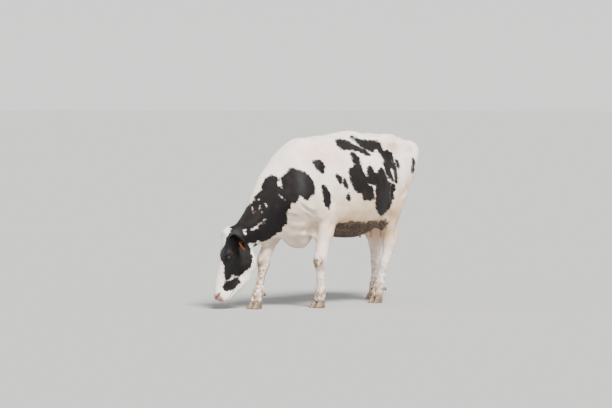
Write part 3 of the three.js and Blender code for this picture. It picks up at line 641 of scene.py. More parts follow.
def carve_head(skin):
    carver = Carver(skin)
    for side in (1, -1):
        out = side * FACE_LEFT
        # brow, with the groove over it, and the hollow of the temple
        carver.stroke(face_line(side, (-0.010, 0.050, 0.500), (-0.022, 0.082, 0.470), (-0.020, 0.098, 0.440)),
                      0.016, 0.006)
        carver.stroke(face_line(side, (0.0, 0.042, 0.540), (0.004, 0.040, 0.470), (0.010, 0.036, 0.390)),
                      0.013, -0.004)
        carver.dab(on_face([-0.082, side * 0.085, 0.500]), 0.030, -0.006)
        # cheekbone, running from under the eye to the muzzle, and the hollow under it
        carver.stroke(face_line(side, (-0.062, 0.080, 0.405), (-0.044, 0.066, 0.330), (-0.018, 0.056, 0.250)),
                      0.013, 0.006, out)
        carver.stroke(face_line(side, (-0.088, 0.060, 0.330), (-0.066, 0.050, 0.270), (-0.048, 0.045, 0.215)),
                      0.022, -0.006, out)
        # the cheek muscle and its front edge
        carver.dab(on_face([-0.170, side * 0.06, 0.370]), np.array([0.055, 0.055, 0.080]), 0.006, out)
        carver.stroke(face_line(side, (-0.090, 0.07, 0.395), (-0.108, 0.06, 0.335), (-0.140, 0.05, 0.285),
                                (-0.185, 0.05, 0.262)), 0.011, -0.006, out, 0.25)
        # the edge of the jaw
        carver.stroke(face_line(side, (-0.235, 0.040, 0.300), (-0.205, 0.038, 0.235), (-0.160, 0.032, 0.190),
                                (-0.118, 0.028, 0.155)), 0.012, 0.004)
        # veins of the face
        carver.stroke(face_line(side, (-0.120, 0.06, 0.400), (-0.088, 0.06, 0.345), (-0.078, 0.06, 0.285),
                                (-0.052, 0.055, 0.235)), 0.0045, 0.0028, out)
        carver.stroke(face_line(side, (-0.078, 0.06, 0.285), (-0.030, 0.055, 0.250), (-0.004, 0.05, 0.215)),
                      0.0040, 0.0022, out)
        # the upper lip, lower lip and the mouth between them
        mouth = mouth_line(skin.points, side)
        above, below = mouth + 0.016 * FACE_FORWARD + 0.006 * UP, mouth - 0.014 * FACE_FORWARD - 0.008 * UP
        carver.stroke(on_skin(skin.points, above), 0.013, 0.005, None, 0.05)
        carver.stroke(on_skin(skin.points, below), 0.011, 0.006, None, 0.05)
        carver.stroke(mouth, 0.0055, -0.016, None, 0.06)
        carver.stroke(face_line(side, (-0.084, 0.05, 0.172), (-0.104, 0.05, 0.168), (-0.116, 0.045, 0.156)),
                      0.006, -0.003, out)
        # the nostril, a comma with a raised wing
        nostril = nostril_line(skin.points, side)
        carver.stroke(nostril, 0.019, 0.008, None, 0.1)
        carver.stroke(nostril, 0.0080, -0.030, None, 0.12, 4.0)
        wing = on_skin(skin.points, nostril + 0.021 * UP + 0.004 * out)
        carver.stroke(wing, 0.008, -0.003, None, 0.1)
        # round the root of the ear
        carver.dab(on_face([-0.088, side * 0.074, 0.592]), 0.040, 0.008)
    # the bridge of the nose, the dish of the forehead and the groove under the nose
    carver.stroke(on_face([[0.008, 0, 0.400], [0.034, 0, 0.290], [0.055, 0, 0.170]]), 0.018, 0.003)
    carver.dab(on_face([0.0, 0, 0.480]), np.array([0.05, 0.045, 0.060]), -0.004)
    carver.stroke(on_face([[0.066, 0, 0.112], [0.052, 0, 0.082], [0.020, 0, 0.060]]), 0.004, -0.003)
    # between the bones of the lower jaw
    carver.stroke(on_face([[-0.235, 0, 0.330], [-0.190, 0, 0.215], [-0.130, 0, 0.160]]), 0.020, -0.010)
    carver.press()


def eye_axes(side):
    """Which way an eye looks, the way its opening is long, and the way to the upper lid."""
    look = unit(0.30 * FACE_FORWARD + 0.94 * side * FACE_LEFT + 0.10 * UP)
    long = unit(UP * 0.95 - 0.30 * FACE_FORWARD)
    long = unit(long - look * (long @ look))
    return look, long, side * np.cross(look, long)


def raise_orbit(skin, eye, side):
    """Lifts the skin over the eyeball into the low mound that the lids are cut from."""
    look, long, lift = eye_axes(side)
    lid = EYE_RADIUS + LID_DEPTH
    edge = 0.0165
    top, slope = math.sqrt(lid ** 2 - edge ** 2), edge / math.sqrt(lid ** 2 - edge ** 2)
    q = skin.points - eye
    away = np.hypot(q @ long, q @ lift)
    ahead = q @ look
    dome = np.sqrt(np.clip(lid ** 2 - away ** 2, top ** 2, None))
    skirt = top - slope * 0.011 * (1 - np.exp(-np.clip(away - edge, 0, None) / 0.011))
    mound = np.where(away < edge, dome, skirt)
    raised = 0.5 * (ahead + mound + np.sqrt((ahead - mound) ** 2 + 0.003 ** 2))
    raised = np.where(away < edge, mound, raised)
    near = ramp(away, 0.050, 0.034) * (ahead > -0.012)
    skin.points += (near * (raised - ahead))[:, None] * look
    skin.relax(4, 0.5, near)


def shape_eye(skin, eye, side):
    """Draws the skin over the eyeball as two lids with an almond opening."""
    look, long, lift = eye_axes(side)
    q = skin.points - eye
    a, b, ahead = q @ long, q @ lift, q @ look
    near = ramp(np.hypot(a, b), 0.046, 0.034) * ramp(ahead, 0.0, 0.005)
    lid = EYE_RADIUS + LID_DEPTH
    reach = np.linalg.norm(q, axis=1)
    tall = np.where(b > 0, LID_ABOVE, LID_BELOW)
    opening = np.abs(a / LID_LENGTH) ** 1.8 + np.abs(b / tall) ** 2
    rim = lid + 0.0018 * spread(opening - 1.30, 0.28) - 0.0020 * spread(opening - 2.7, 0.45)
    target = np.where(opening < 1.0, EYE_RADIUS - 0.006, rim)
    held = near * ramp(opening, 3.6, 2.2)
    skin.points += (held * (target - reach) / np.maximum(reach, 1e-6))[:, None] * q
    creases = 0.0016 * spread(opening - 4.3, 0.6) - 0.0018 * spread(opening - 5.6, 0.6)
    skin.points += (near * creases)[:, None] * look
    skin.relax(1, 0.4, near * (opening > 1.5))


# ------------------------------------------------------------------ ears

EAR_LENGTH = 0.200
EAR_WALL = 0.0045
EARS = {
    "left_ear": {"root": [-0.092, 0.064, 0.596], "along": [0.36, 0.90, -0.12],
                 "opening": [0.75, -0.10, -0.55]},
    "right_ear": {"root": [-0.092, -0.064, 0.596], "along": [-0.66, -0.62, 0.24],
                  "opening": [0.50, 0.20, 0.70]},
}


def ear_axes(ear):
    along = unit(np.array(ear["along"]))
    across = unit(np.cross(ear["opening"], along))
    return on_face(ear["root"]), along, across, np.cross(along, across)


def ear_half_width(t):
    leaf = 0.020 + 0.044 * np.sin(np.pi * t ** 0.72 * 0.93) ** 1.1
    return leaf * np.sqrt(np.clip(1 - (np.clip(t - 0.78, 0, 1) / 0.225) ** 2.2, 0.0, 1)) - 0.001


def make_ear(name):
    """A leaf of gristle: rolled to a tube at its root, and open and cupped towards its tip."""
    root, along, across, front = ear_axes(EARS[name])
    rows, turns = 30, 34
    verts = []
    for k in range(rows + 1):
        t = (k / rows) ** 0.9
        curl = 0.80 + 1.5 * float(ramp(t, 0.42, 0.02))
        half = float(ear_half_width(t))
        radius = half / math.sin(min(curl, math.pi / 2))
        middle = root + along * t * EAR_LENGTH * 0.985 + front * (radius - 0.42 * half * (1.0 - 0.35 * t))
        middle = middle + front * 0.010 * math.sin(math.pi * t)
        for i in range(turns):
            go = 2 * math.pi * i / turns
            turn = curl * math.cos(go)
            wall = 0.5 * EAR_WALL * (1.4 - 0.7 * t) * math.sin(go)
            fold = 0.0018 * math.sin(9 * turn) * math.sin(math.pi * t) * (go > math.pi)
            ring = radius + wall + fold
            verts.append(middle + across * ring * math.sin(turn) - front * ring * math.cos(turn))
    faces = [[k * turns + i, k * turns + (i + 1) % turns, (k + 1) * turns + (i + 1) % turns,
              (k + 1) * turns + i] for k in range(rows) for i in range(turns)]
    for k in (0, rows):
        ring = [k * turns + i for i in range(turns)]
        middle = len(verts)
        verts.append(np.mean([verts[i] for i in ring], axis=0))
        faces += [[middle, ring[(i + 1) % turns], ring[i]] if k == 0
                  else [middle, ring[i], ring[(i + 1) % turns]] for i in range(turns)]
    return new_object(name + "_leaf", closed_mesh(name, verts, faces))


def ear_places(points, name):
    """How far along an ear, across it and in front of it each point is."""
    root, along, across, front = ear_axes(EARS[name])
    q = points - root
    return (q @ along) / EAR_LENGTH, q @ across, q @ front


TEAT_END = 0.5485
TEAT_TOP = 0.606
TEAT_TIP = 0.0108                           # the radius of the blunt end
TEAT_ROUND = 0.012                          # and how high it reaches
# heights over the tip, and radii
TEAT_SHAPE = ([TEAT_ROUND, 0.024, 0.042, 0.058], [TEAT_TIP, 0.0116, 0.0124, 0.0140])


def teat_share(points):
    """1 on the teats and 0 off them."""
    own = points - SHIFT
    found = np.zeros(len(points))
    for x, y in TEATS:
        found = np.maximum(found, ramp(np.hypot(own[:, 0] - x, own[:, 1] - y), 0.036, 0.028))
    return found * ramp(own[:, 2], 0.632, 0.618) * (own[:, 2] > 0.5)


def tidy_teats(skin):
    """Sets the teats' points on round, blunt-ended shapes, which the even squares are too coarse for."""
    for x, y in TEATS:
        q = skin.points - here([x, y, 0])
        on_it = (np.hypot(q[:, 0], q[:, 1]) < 0.024) & (q[:, 2] < TEAT_TOP) & (q[:, 2] > 0.5)
        if not on_it.any():
            continue
        q = q[on_it]
        low = q[:, 2].min()
        height = TEAT_TOP - (TEAT_TOP - q[:, 2]) / (TEAT_TOP - low) * (TEAT_TOP - TEAT_END) - TEAT_END
        round_end = height < TEAT_ROUND
        off = np.stack([q[:, 0], q[:, 1], np.where(round_end, height - TEAT_ROUND, 0.0)], 1)
        off /= np.maximum(np.linalg.norm(off, axis=1), 1e-6)[:, None]
        off *= np.where(round_end, TEAT_TIP, np.interp(height, *TEAT_SHAPE))[:, None] * [1, 1, 1.1]
        off[:, 2] += TEAT_END + np.where(round_end, TEAT_ROUND, height)
        skin.points[on_it] = here([x, y, 0]) + off


def join_ears(skin_obj):
    for name in EARS:
        leaf = make_ear(name)
        union = skin_obj.modifiers.new("ear", "BOOLEAN")
        union.operation = "UNION"
        union.solver = "EXACT"
        union.object = leaf
        apply_modifiers(skin_obj)
        bpy.data.objects.remove(leaf)


# ------------------------------------------------------------------ shaping the legs

def carve_legs(skin):
    carver = Carver(skin)
    for name, (top, knee, fetlock, foot) in LEGS.items():
        side = 1 if name.startswith("left") else -1
        top, knee, fetlock, foot = here(np.array([top, knee, fetlock, foot]))
        ahead, out = np.array([1.0, 0, 0]), np.array([0.0, side, 0])
        cannon = fetlock - knee
        if "fore" in name:
            # the knee: a flat front with a bony rim, and the knob behind it
            carver.dab(knee + 0.045 * ahead, np.array([0.03, 0.030, 0.040]), 0.005)
            carver.dab(knee - 0.045 * ahead + [0, side * 0.01, 0.012], 0.024, 0.008)
            for y in (-1, 1):
                carver.dab(knee + [0.006, y * 0.045, 0.030], 0.020, 0.004)
                carver.dab(knee + [0.002, y * 0.045, -0.034], 0.018, 0.003)
            carver.stroke(np.array([knee + [0.05, 0, -0.045], knee + cannon * 0.2 + [0.04, 0, 0]]),
                          0.014, -0.003)
        else:
            # the hock: the heel cord, with a hollow before it on each side, and the bony inner face
            heel = knee + [-0.082, 0, 0.042]
            for y in (-1, 1):
                carver.stroke(np.array([heel + [0.030, y * 0.04, 0.14], heel + [0.034, y * 0.04, 0.05],
                                        knee + [-0.030, y * 0.04, 0.01]]), 0.017, -0.010,
                              np.array([0.0, y, 0.0]), 0.2)
                carver.dab(knee + [0.012, y * 0.042, -0.012], 0.022, 0.004)
            carver.dab(heel, 0.022, 0.004)
        for y in (-1, 1):
            # tendons behind the cannon bone, the fetlock's knobs and the hollow of the pastern
            wide = np.array([0.0, y, 0.0])
            carver.stroke(np.array([knee + [-0.012, y * 0.04, -0.06], fetlock + [-0.012, y * 0.04, 0.05]]),
                          0.009, -0.006, wide, 0.15)
            carver.dab(fetlock + [0.004, y * 0.040, 0.0], 0.020, 0.003)
            carver.dab(fetlock + [-0.040, y * 0.020, 0.012], 0.016, 0.004)
        # the cleft between the toes, before and behind
        for x, width in ((0.06, 0.009), (-0.05, 0.010)):
            carver.stroke(np.array([fetlock + [x * 0.8, 0, -0.030], foot + [x, 0, -0.012]]), width, -0.016,
                          None, 0.3)
        # the band of the coronet
        for y in (-1, 1):
            for x in (0.045, 0.0, -0.04):
                carver.dab(foot + [x, y * 0.034, 0.012], 0.016, 0.003)
    carver.press()


# ------------------------------------------------------------------ markings

# Outlines of the left side's black patches, drawn in the frame of the stage camera: 612 wide, 408 high.
VIEW_WIDTH, VIEW_HEIGHT = 612, 408
NECK_AND_FACE = [
   (272.1, 174.8), (277.0, 177.6), (278.5, 180.0), (277.0, 182.4), (277.0, 186.1), (282.4, 188.8),
    (281.8, 185.4), (281.5, 181.2), (280.6, 177.6), (286.0, 173.3), (290.3, 167.9), (294.5, 168.5),
    (303.0, 171.5), (307.9, 174.5), (312.7, 180.6), (314.5, 186.1), (314.8, 191.5), (310.9, 196.4),
    (307.3, 199.7), (304.2, 198.8), (299.4, 194.5), (298.8, 198.8), (296.3, 201.8), (291.5, 202.4),
    (289.7, 205.4), (290.3, 207.9), (286.7, 210.3), (286.4, 215.7), (286.7, 223.6), (284.8, 225.1),
    (282.1, 226.0), (281.8, 231.5), (276.4, 232.7), (272.7, 236.3), (268.5, 238.8), (262.4, 241.8),
    (258.2, 239.4), (254.5, 242.4), (252.5, 243.1), (248.1, 242.8), (247.6, 246.2), (251.0, 249.1),
    (249.6, 252.0), (251.8, 255.9), (251.8, 263.7), (248.6, 268.5), (242.8, 272.4), (239.4, 276.3),
    (236.0, 275.3), (232.1, 273.9), (230.7, 277.2), (227.8, 279.9), (225.4, 278.7), (224.1, 272.9),
    (224.9, 268.0), (224.6, 264.2), (221.5, 259.8), (220.0, 255.0), (222.0, 249.6), (225.4, 245.3),
    (226.3, 239.0), (228.3, 235.1), (230.6, 231.0), (230.0, 227.0), (236.0, 218.0), (243.0, 209.0),
    (247.3, 206.6), (251.5, 203.6), (254.5, 200.0), (255.1, 196.4), (259.4, 192.1), (263.0, 189.7),
    (261.2, 187.3), (264.2, 180.0), (267.3, 177.0)]
LEFT_PATCHES = [
    NECK_AND_FACE,
    [(222.9, 286.9), (224.4, 283.5), (227.3, 281.1), (232.1, 281.1), (233.6, 278.7), (236.5, 277.2),
     (238.9, 279.2), (240.4, 282.1), (236.0, 286.5), (231.7, 290.3), (226.3, 290.8), (223.9, 289.4)],
    [(312.4, 161.2), (318.0, 159.3), (322.4, 161.2), (324.5, 166.7), (323.6, 173.9), (318.2, 170.3),
     (313.9, 165.5)],
    [(321.2, 186.1), (323.3, 184.2), (327.9, 189.7), (330.6, 197.0), (330.0, 208.5), (328.8, 209.4),
     (323.6, 202.4), (323.0, 193.9)],
    [(335.2, 174.7), (338.2, 173.8), (341.2, 176.5), (342.1, 181.9), (340.9, 184.3), (337.6, 180.1)],
    [(342.7, 178.9), (344.2, 178.0), (346.6, 181.9), (347.8, 188.5), (345.4, 187.3), (343.3, 183.1)],
    [(347.2, 195.1), (348.7, 193.3), (350.5, 196.9), (349.0, 201.1), (347.1, 198.7)],
    [(334.9, 140.6), (337.3, 139.1), (343.0, 140.3), (346.0, 140.6), (352.0, 143.9), (358.0, 146.6),
     (362.2, 148.4), (367.0, 151.4), (370.6, 155.3), (365.2, 155.6), (360.4, 151.6), (354.4, 150.8),
     (347.8, 149.6), (343.0, 149.6), (338.2, 146.6)],
    [(349.6, 137.0), (350.5, 136.1), (356.2, 138.5), (364.0, 140.3), (374.7, 140.6), (378.3, 142.1),
     (381.0, 145.7), (381.3, 148.7), (385.5, 151.7), (386.4, 149.6), (391.5, 153.8), (393.3, 158.6),
     (394.5, 162.2), (396.6, 170.0), (397.5, 178.9), (396.9, 184.3), (395.1, 183.1), (394.2, 175.3),
     (393.0, 169.4), (390.9, 168.8), (389.1, 167.9), (390.3, 172.4), (393.0, 177.7), (392.7, 181.3),
     (389.7, 178.3), (386.1, 172.4), (384.3, 166.4), (381.6, 161.6), (384.5, 162.8), (383.1, 158.0),
     (379.5, 153.2), (377.1, 148.4), (374.7, 150.2), (371.8, 152.0), (364.0, 148.4), (358.0, 145.1),
     (354.4, 140.3)],
    [(394.8, 159.2), (397.5, 160.4), (399.3, 165.2), (399.0, 169.4), (397.5, 166.4)],
    [(350.2, 153.2), (352.6, 152.3), (356.2, 155.0), (359.8, 159.2), (361.0, 166.4), (361.6, 168.8),
     (364.0, 174.1), (367.4, 179.5), (366.8, 183.1), (371.2, 186.0), (373.0, 189.7), (374.1, 196.9),
     (374.4, 199.3), (372.4, 198.1), (370.3, 200.8), (367.0, 198.7), (363.4, 200.5), (362.8, 195.7),
     (362.2, 192.7), (357.4, 192.7), (353.8, 188.5), (350.5, 181.9), (349.6, 175.9), (348.4, 170.0),
     (351.4, 167.0), (353.8, 165.2), (352.0, 158.6)],
    [(367.3, 166.4), (369.4, 165.2), (372.4, 168.8), (375.6, 174.1), (378.3, 170.3), (380.1, 167.6),
     (382.5, 167.6), (384.9, 172.4), (387.3, 178.9), (388.5, 182.5), (392.7, 184.3), (395.4, 185.5),
     (394.5, 190.9), (393.0, 191.5), (393.9, 198.7), (392.1, 199.3), (390.9, 204.7), (386.7, 210.7),
     (381.3, 216.1), (377.7, 211.9), (375.3, 204.1), (376.5, 196.9), (375.9, 190.9), (376.5, 185.5),
     (371.4, 184.5), (366.6, 181.3), (367.4, 175.9), (367.2, 171.2)],
    [(411.9, 158.0), (413.7, 158.0), (414.9, 164.0), (413.4, 170.0), (411.9, 174.1), (411.6, 170.0),
     (412.6, 164.6)],
]
# White flecks in the black and black flecks in the white, each from one place to another with a half-width.
WHITE_FLECKS = [
    (255.1, 201.2, 258.8, 199.4, 0.8), (252.1, 207.3, 253.0, 211.5, 0.7), (250.9, 213.3, 254.5, 211.5, 0.5),
    (258.8, 208.5, 261.2, 205.4, 1.2), (261.2, 205.4, 266.7, 204.5, 1.0), (266.0, 204.8, 266.4, 208.5, 0.6),
    (261.8, 212.1, 262.4, 212.6, 0.8), (279.4, 195.1, 283.9, 199.4, 0.9), (265.4, 219.4, 258.8, 224.2, 1.1),
    (256.4, 227.3, 252.1, 229.1, 1.9), (246.1, 230.3, 243.0, 230.3, 1.2), (243.0, 232.7, 245.5, 233.9, 1.2),
    (391.0, 159.4, 392.4, 162.2, 0.5)]
BLACK_FLECKS = [(255.2, 245.4, 255.2, 246.8, 1.2), (259.2, 247.8, 260.4, 248.8, 0.8),
                (235.6, 279.4, 237.0, 278.9, 1.6), (227.5, 276.0, 227.7, 278.0, 1.9)]
# The right side's patches, as masses about places in her own frame (along her neck for the second list).
RIGHT_PATCHES = [
    ((0.03, -0.33, 1.17), (0.17, 0.25, 0.17)), ((0.13, -0.30, 1.03), (0.10, 0.25, 0.13)),
    ((-0.08, -0.32, 1.08), (0.08, 0.25, 0.15)), ((-0.40, -0.24, 1.34), (0.19, 0.21, 0.10)),
    ((-0.30, -0.30, 1.22), (0.08, 0.25, 0.10)), ((-0.50, -0.24, 1.20), (0.10, 0.25, 0.09)),
    ((-0.34, -0.32, 0.93), (0.10, 0.25, 0.11)), ((-0.27, -0.32, 0.82), (0.07, 0.25, 0.06)),
    ((-0.76, -0.16, 1.20), (0.07, 0.14, 0.11)), ((-0.70, -0.20, 1.04), (0.06, 0.16, 0.09)),
    ((0.46, -0.24, 1.10), (0.09, 0.20, 0.12)), ((0.52, -0.24, 0.99), (0.06, 0.20, 0.08)),
    ((0.30, -0.30, 0.86), (0.035, 0.2, 0.05)), ((-0.11, -0.33, 0.80), (0.04, 0.2, 0.05)),
    ((0.24, -0.12, 1.40), (0.06, 0.09, 0.05)), ((-0.62, -0.02, 1.43), (0.05, 0.07, 0.05))]
RIGHT_NECK_PATCHES = [
    ((0.14, -0.12, 0.98), (0.09, 0.16, 0.13)), ((0.24, -0.12, 0.86), (0.10, 0.15, 0.12)),
    ((0.33, -0.10, 0.80), (0.10, 0.14, 0.12)), ((0.45, -0.06, 0.70), (0.12, 0.17, 0.13)),
    ((0.52, -0.02, 0.64), (0.07, 0.10, 0.09))]
RIGHT_FACE_PATCHES = [
    ((-0.12, -0.09, 0.46), (0.085, 0.07, 0.13)), ((-0.16, -0.08, 0.36), (0.07, 0.07, 0.09)),
    ((-0.10, -0.09, 0.56), (0.07, 0.06, 0.10)), ((-0.055, -0.075, 0.36), (0.035, 0.05, 0.10)),
    ((-0.06, -0.06, 0.13), (0.030, 0.05, 0.035))]


def view_places(points):
    """Where points are seen in the stage camera's 612 x 408 frame, and the metres that one unit spans."""
    right = unit(np.cross(UP, VIEW_BACK))
    above = np.cross(VIEW_BACK, right)
    q = points - (VIEW_AIM + VIEW_DISTANCE * VIEW_BACK)
    depth = -(q @ VIEW_BACK)
    focal = VIEW_LENS / VIEW_FILM * VIEW_WIDTH
    place = np.stack([VIEW_WIDTH / 2 + focal * (q @ right) / depth,
                      VIEW_HEIGHT / 2 - focal * (q @ above) / depth], 1)
    return place, depth / focal


def inside_outline(places, outline):
    """Signed distance of places from a closed outline, more than 0 inside."""
    corners = np.asarray(outline, float)
    distance = np.full(len(places), np.inf)
    inside = np.zeros(len(places), bool)
    for (ax, ay), (bx, by) in zip(corners, np.roll(corners, -1, axis=0)):
        px, py = places[:, 0] - ax, places[:, 1] - ay
        ex, ey = bx - ax, by - ay
        t = np.clip((px * ex + py * ey) / (ex * ex + ey * ey), 0, 1)
        distance = np.minimum(distance, np.hypot(px - t * ex, py - t * ey))
        if ay != by:
            crosses = (places[:, 1] > min(ay, by)) & (places[:, 1] <= max(ay, by))
            inside ^= crosses & (places[:, 0] < ax + (places[:, 1] - ay) * ex / ey)
    return np.where(inside, distance, -distance)


def inside_fleck(places, fleck):
    ax, ay, bx, by, half = fleck
    distance, _ = along_path(places, [(ax, ay), (bx, by)])
    return half - distance


def rounded(outline):
    """The outline with its corners eased."""
    p = np.asarray(outline, float)
    after = np.roll(p, -1, axis=0)
    return np.stack([0.8 * p + 0.2 * after, 0.2 * p + 0.8 * after], 1).reshape(-1, 2)


def inside_mass(points, centre, radii):
    return (1 - away_from(points, centre, radii)) * min(radii)


def black_depth(points, normals):
    """How far inside the black each point lies, in metres; less than 0 in the white."""
    places, span = view_places(points)
    places = places + np.stack([0.45 * grain(points, 0.030, k) + 0.45 * grain(points, 0.013, k + 2)
                                for k in (1, 2)], 1)
    left = np.full(len(points), -9.0)
    for outline in LEFT_PATCHES:
        low, high = np.min(outline, 0) - 8, np.max(outline, 0) + 8
        near = ((places > low) & (places < high)).all(1)
        left[near] = np.maximum(left[near], inside_outline(places[near], rounded(outline)))
    for fleck in BLACK_FLECKS:
        left = np.maximum(left, inside_fleck(places, fleck))
    for fleck in WHITE_FLECKS:
        left = np.minimum(left, 0.15 - 1.05 * inside_fleck(places, fleck))
    left *= span
    broad = np.stack([grain(points, 0.11, k) for k in (3, 4, 5)], 1) * 0.035
    fine = np.stack([grain(points, 0.035, k) for k in (6, 7, 8)], 1) * 0.012
    moved = points + broad + fine
    own = moved - SHIFT
    along = (own - NECK_ROOT) @ NECK_FORWARD
    neck = np.stack([along, (own - NECK_ROOT) @ NECK_LEFT, own[:, 2]], 1)
    face = face_places(moved)
    right = np.full(len(points), -9.0)
    for found, patches in ((own, RIGHT_PATCHES), (neck, RIGHT_NECK_PATCHES), (face, RIGHT_FACE_PATCHES)):
        for centre, radii in patches:
            right = np.maximum(right, inside_mass(found, np.array(centre), np.array(radii)))
        if patches is RIGHT_PATCHES:
            right -= 0.2 * ramp(own[:, 1], -0.14, -0.06) * ramp(own[:, 2], 1.15, 1.05)
    facing = ramp(normals @ VIEW_BACK, -0.10, 0.12)
    own = points - SHIFT
    udder = (np.hypot((own[:, 0] + 0.49) / 1.4, own[:, 1]) < 0.17) & (own[:, 2] < 0.90)
    black = facing * np.clip(left, -0.1, 0.1) + (1 - facing) * np.clip(right, -0.1, 0.1)
    return np.where(udder, -0.05, black)


# ------------------------------------------------------------------ dirt, bare skin and painted shade

def stains(points):
    """Shares, 0 to 1, of what lies on the coat or shows through it, and of painted shade on her lower barrel,
    belly and nostrils.
    """
    own = points - SHIFT
    face = face_places(points)
    head, legs = head_share(points), leg_share(points)
    body = (1 - ramp(head, 0, 0.3))
    rough = grain(points * [1, 1, 0.45], 0.030, 11)
    patchy = grain(points, 0.085, 12)
    fine = grain(points, 0.013, 13)
    x, z = own[:, 0], own[:, 2]
    belly = ramp(x, -0.42, -0.34) * ramp(x, 0.36, 0.27) * body * (z > 0.50)
    # dung caked along the bottom of her belly, whose dark colour is partly painted shade of her underside
    mud = belly * ramp(z + 0.026 * rough + 0.022 * patchy + 0.012 * fine, 0.735, 0.680)
    # painted shade: her white turns cream lower down her barrel; her lower thighs turn cream too
    cream = body * ramp(z + 0.06 * patchy, 1.18, 0.72) * ramp(z, 0.36, 0.60) \
        * (0.55 + 0.45 * ramp(x, 0.55, 0.20))
    thigh = ramp(x, -0.45, -0.60) * ramp(z, 0.5, 0.7) * ramp(z, 1.2, 0.95)
    cream = np.clip(np.maximum(cream, 0.6 * thigh), 0, 1)
    knee = here(LEGS["left_fore"][1])
    worn = 1.5 * spread(away_from(points - knee, [0.045, 0.012, -0.010], [0.050, 0.062, 0.052]), 1.0)
    for name, (_, joint, _, _) in LEGS.items():
        if name == "right_fore":
            worn = np.maximum(worn, 0.5 * spread(away_from(points - here(joint), [0.04, 0, 0]), 0.05))
        elif "hind" in name:
            worn = np.maximum(worn, 0.45 * spread(away_from(points - here(joint), [-0.03, 0, 0]), 0.055))
    worn = np.clip(worn, 0, 1) * ramp(fine + rough, -1.1, -0.1)
    feet = ramp(z + 0.035 * patchy + 0.02 * rough, 0.30, 0.10)
    muddy_leg = here(LEGS["right_fore"][1:])
    fore, _ = along_path(points, muddy_leg)
    hind = 0.7 * ramp(x, -0.25, -0.35) * ramp(z + 0.06 * patchy + 0.02 * rough, 0.55, 0.22)
    feet = np.maximum(np.maximum(feet, hind), ramp(fore, 0.10, 0.07) * ramp(z + 0.05 * patchy, 0.60, 0.34)) \
        * (1 - ramp(head, 0, 0.3))
    spots = ramp(grain(points, 0.022, 14) + 0.25 * fine, 0.36, 0.58) * ramp(z, 0.40, 0.20) * legs
    udder = ramp(np.hypot((x + 0.49) / 1.3, own[:, 1]), 0.17, 0.13) * ramp(z, 0.86, 0.80) \
        * ramp(z, 0.50, 0.53)
    nose = head * ramp(face[:, 2] - 0.55 * np.abs(face[:, 1]) + 0.007 * rough, 0.124, 0.104) \
        * ramp(face[:, 0] + 0.42 * (0.136 - face[:, 2]) + 0.006 * rough + 0.004 * fine, 0.018, 0.036)
    lips = head * ramp(face[:, 2], 0.088, 0.070)
    lids = np.zeros(len(points))
    for eye, side in ((LEFT_EYE, 1), (RIGHT_EYE, -1)):
        look, long, lift = eye_axes(side)
        q = points - eye
        ring = np.hypot((q @ long) / LID_LENGTH, (q @ lift) / LID_ABOVE)
        lids = np.maximum(lids, ramp(ring, 1.45, 1.15) * ((q @ look) > 0))
        by_mouth, _ = along_path(points, mouth_line(points, side))
        lips = np.maximum(lips, 0.9 * spread(by_mouth, 0.010))
        # the nostrils take the lids' dark colour, as painted shade inside them
        by_nostril, _ = along_path(points, nostril_line(points, side))
        lids = np.maximum(lids, 0.85 * ramp(by_nostril, 0.0085, 0.0050))
    thin = spread(away_from(own, [0.40, 0.15, 1.27], [0.25, 0.3, 0.10]), 1.0) \
        + spread(away_from(own, [-0.42, 0.2, 1.36], [0.16, 0.3, 0.07]), 1.0)
    return {"mud": mud, "cream": cream, "worn": worn, "feet": feet, "spots": spots, "udder": udder,
            "nose": nose, "lips": lips, "lids": lids, "thin": np.clip(thin, 0, 1)}


# ------------------------------------------------------------------ the lie of the coat

WHORL = on_face([0.02, 0.0, 0.470])


def lie_of_coat(points, normals):
    """The way the hair lies at each point, along the skin."""
    own = points - SHIFT
    x, z = own[:, 0], own[:, 2]
    flow = np.tile([-0.86, 0.0, -0.42], (len(points), 1))
    top = ramp(normals[:, 2], 0.55, 0.90)[:, None]
    flow = flow * (1 - top) + np.array([-1.0, 0.0, 0.0]) * top
    hind = (ramp(x, -0.42, -0.62) * ramp(z, 1.30, 1.10))[:, None]
    flow = flow * (1 - hind) + np.array([-0.35, 0.0, -0.94]) * hind
    low = (ramp(z, 0.80, 0.62) * (1 - ramp(x, -0.38, -0.25) * ramp(x, 0.34, 0.24)))[:, None]
    flow = flow * (1 - low) + np.array([0.0, 0.0, -1.0]) * low
    neck = ramp(x, 0.42, 0.62)[:, None] * (1 - low)
    flow = flow * (1 - neck) + (-0.62 * NECK_FORWARD + np.array([0, 0, -0.78])) * neck
    path = curve_through(here(TAIL))
    distance, t = along_path(points, path)
    _, down = point_on(path, t)
    tail = (ramp(distance, 0.08, 0.05) * ramp(t, 0.03, 0.12))[:, None]
    flow = flow * (1 - tail) + down * tail
    head = head_share(points)[:, None]
    away = points - WHORL
    away /= np.maximum(np.linalg.norm(away, axis=1), 1e-6)[:, None]
    flow = flow * (1 - head) + away * head
    for name in EARS:
        _, along, _, _ = ear_axes(EARS[name])
        on_ear = ear_share(points, name)[:, None]
        flow = flow * (1 - on_ear) + along * on_ear
    sway = np.stack([grain(points, 0.16, k) for k in (21, 22, 23)], 1) * 0.35
    flow = flow + sway
    flow -= (flow * normals).sum(1)[:, None] * normals
    return flow / np.maximum(np.linalg.norm(flow, axis=1), 1e-6)[:, None]


def ear_share(points, name):
    along, across, front = ear_places(points, name)
    half = ear_half_width(np.clip(along, 0, 1)) + 0.020
    return ramp(along, 0.06, 0.22) * ramp(along, 1.15, 1.05) * (np.abs(across) < half) \
        * (np.abs(front) < 0.075)


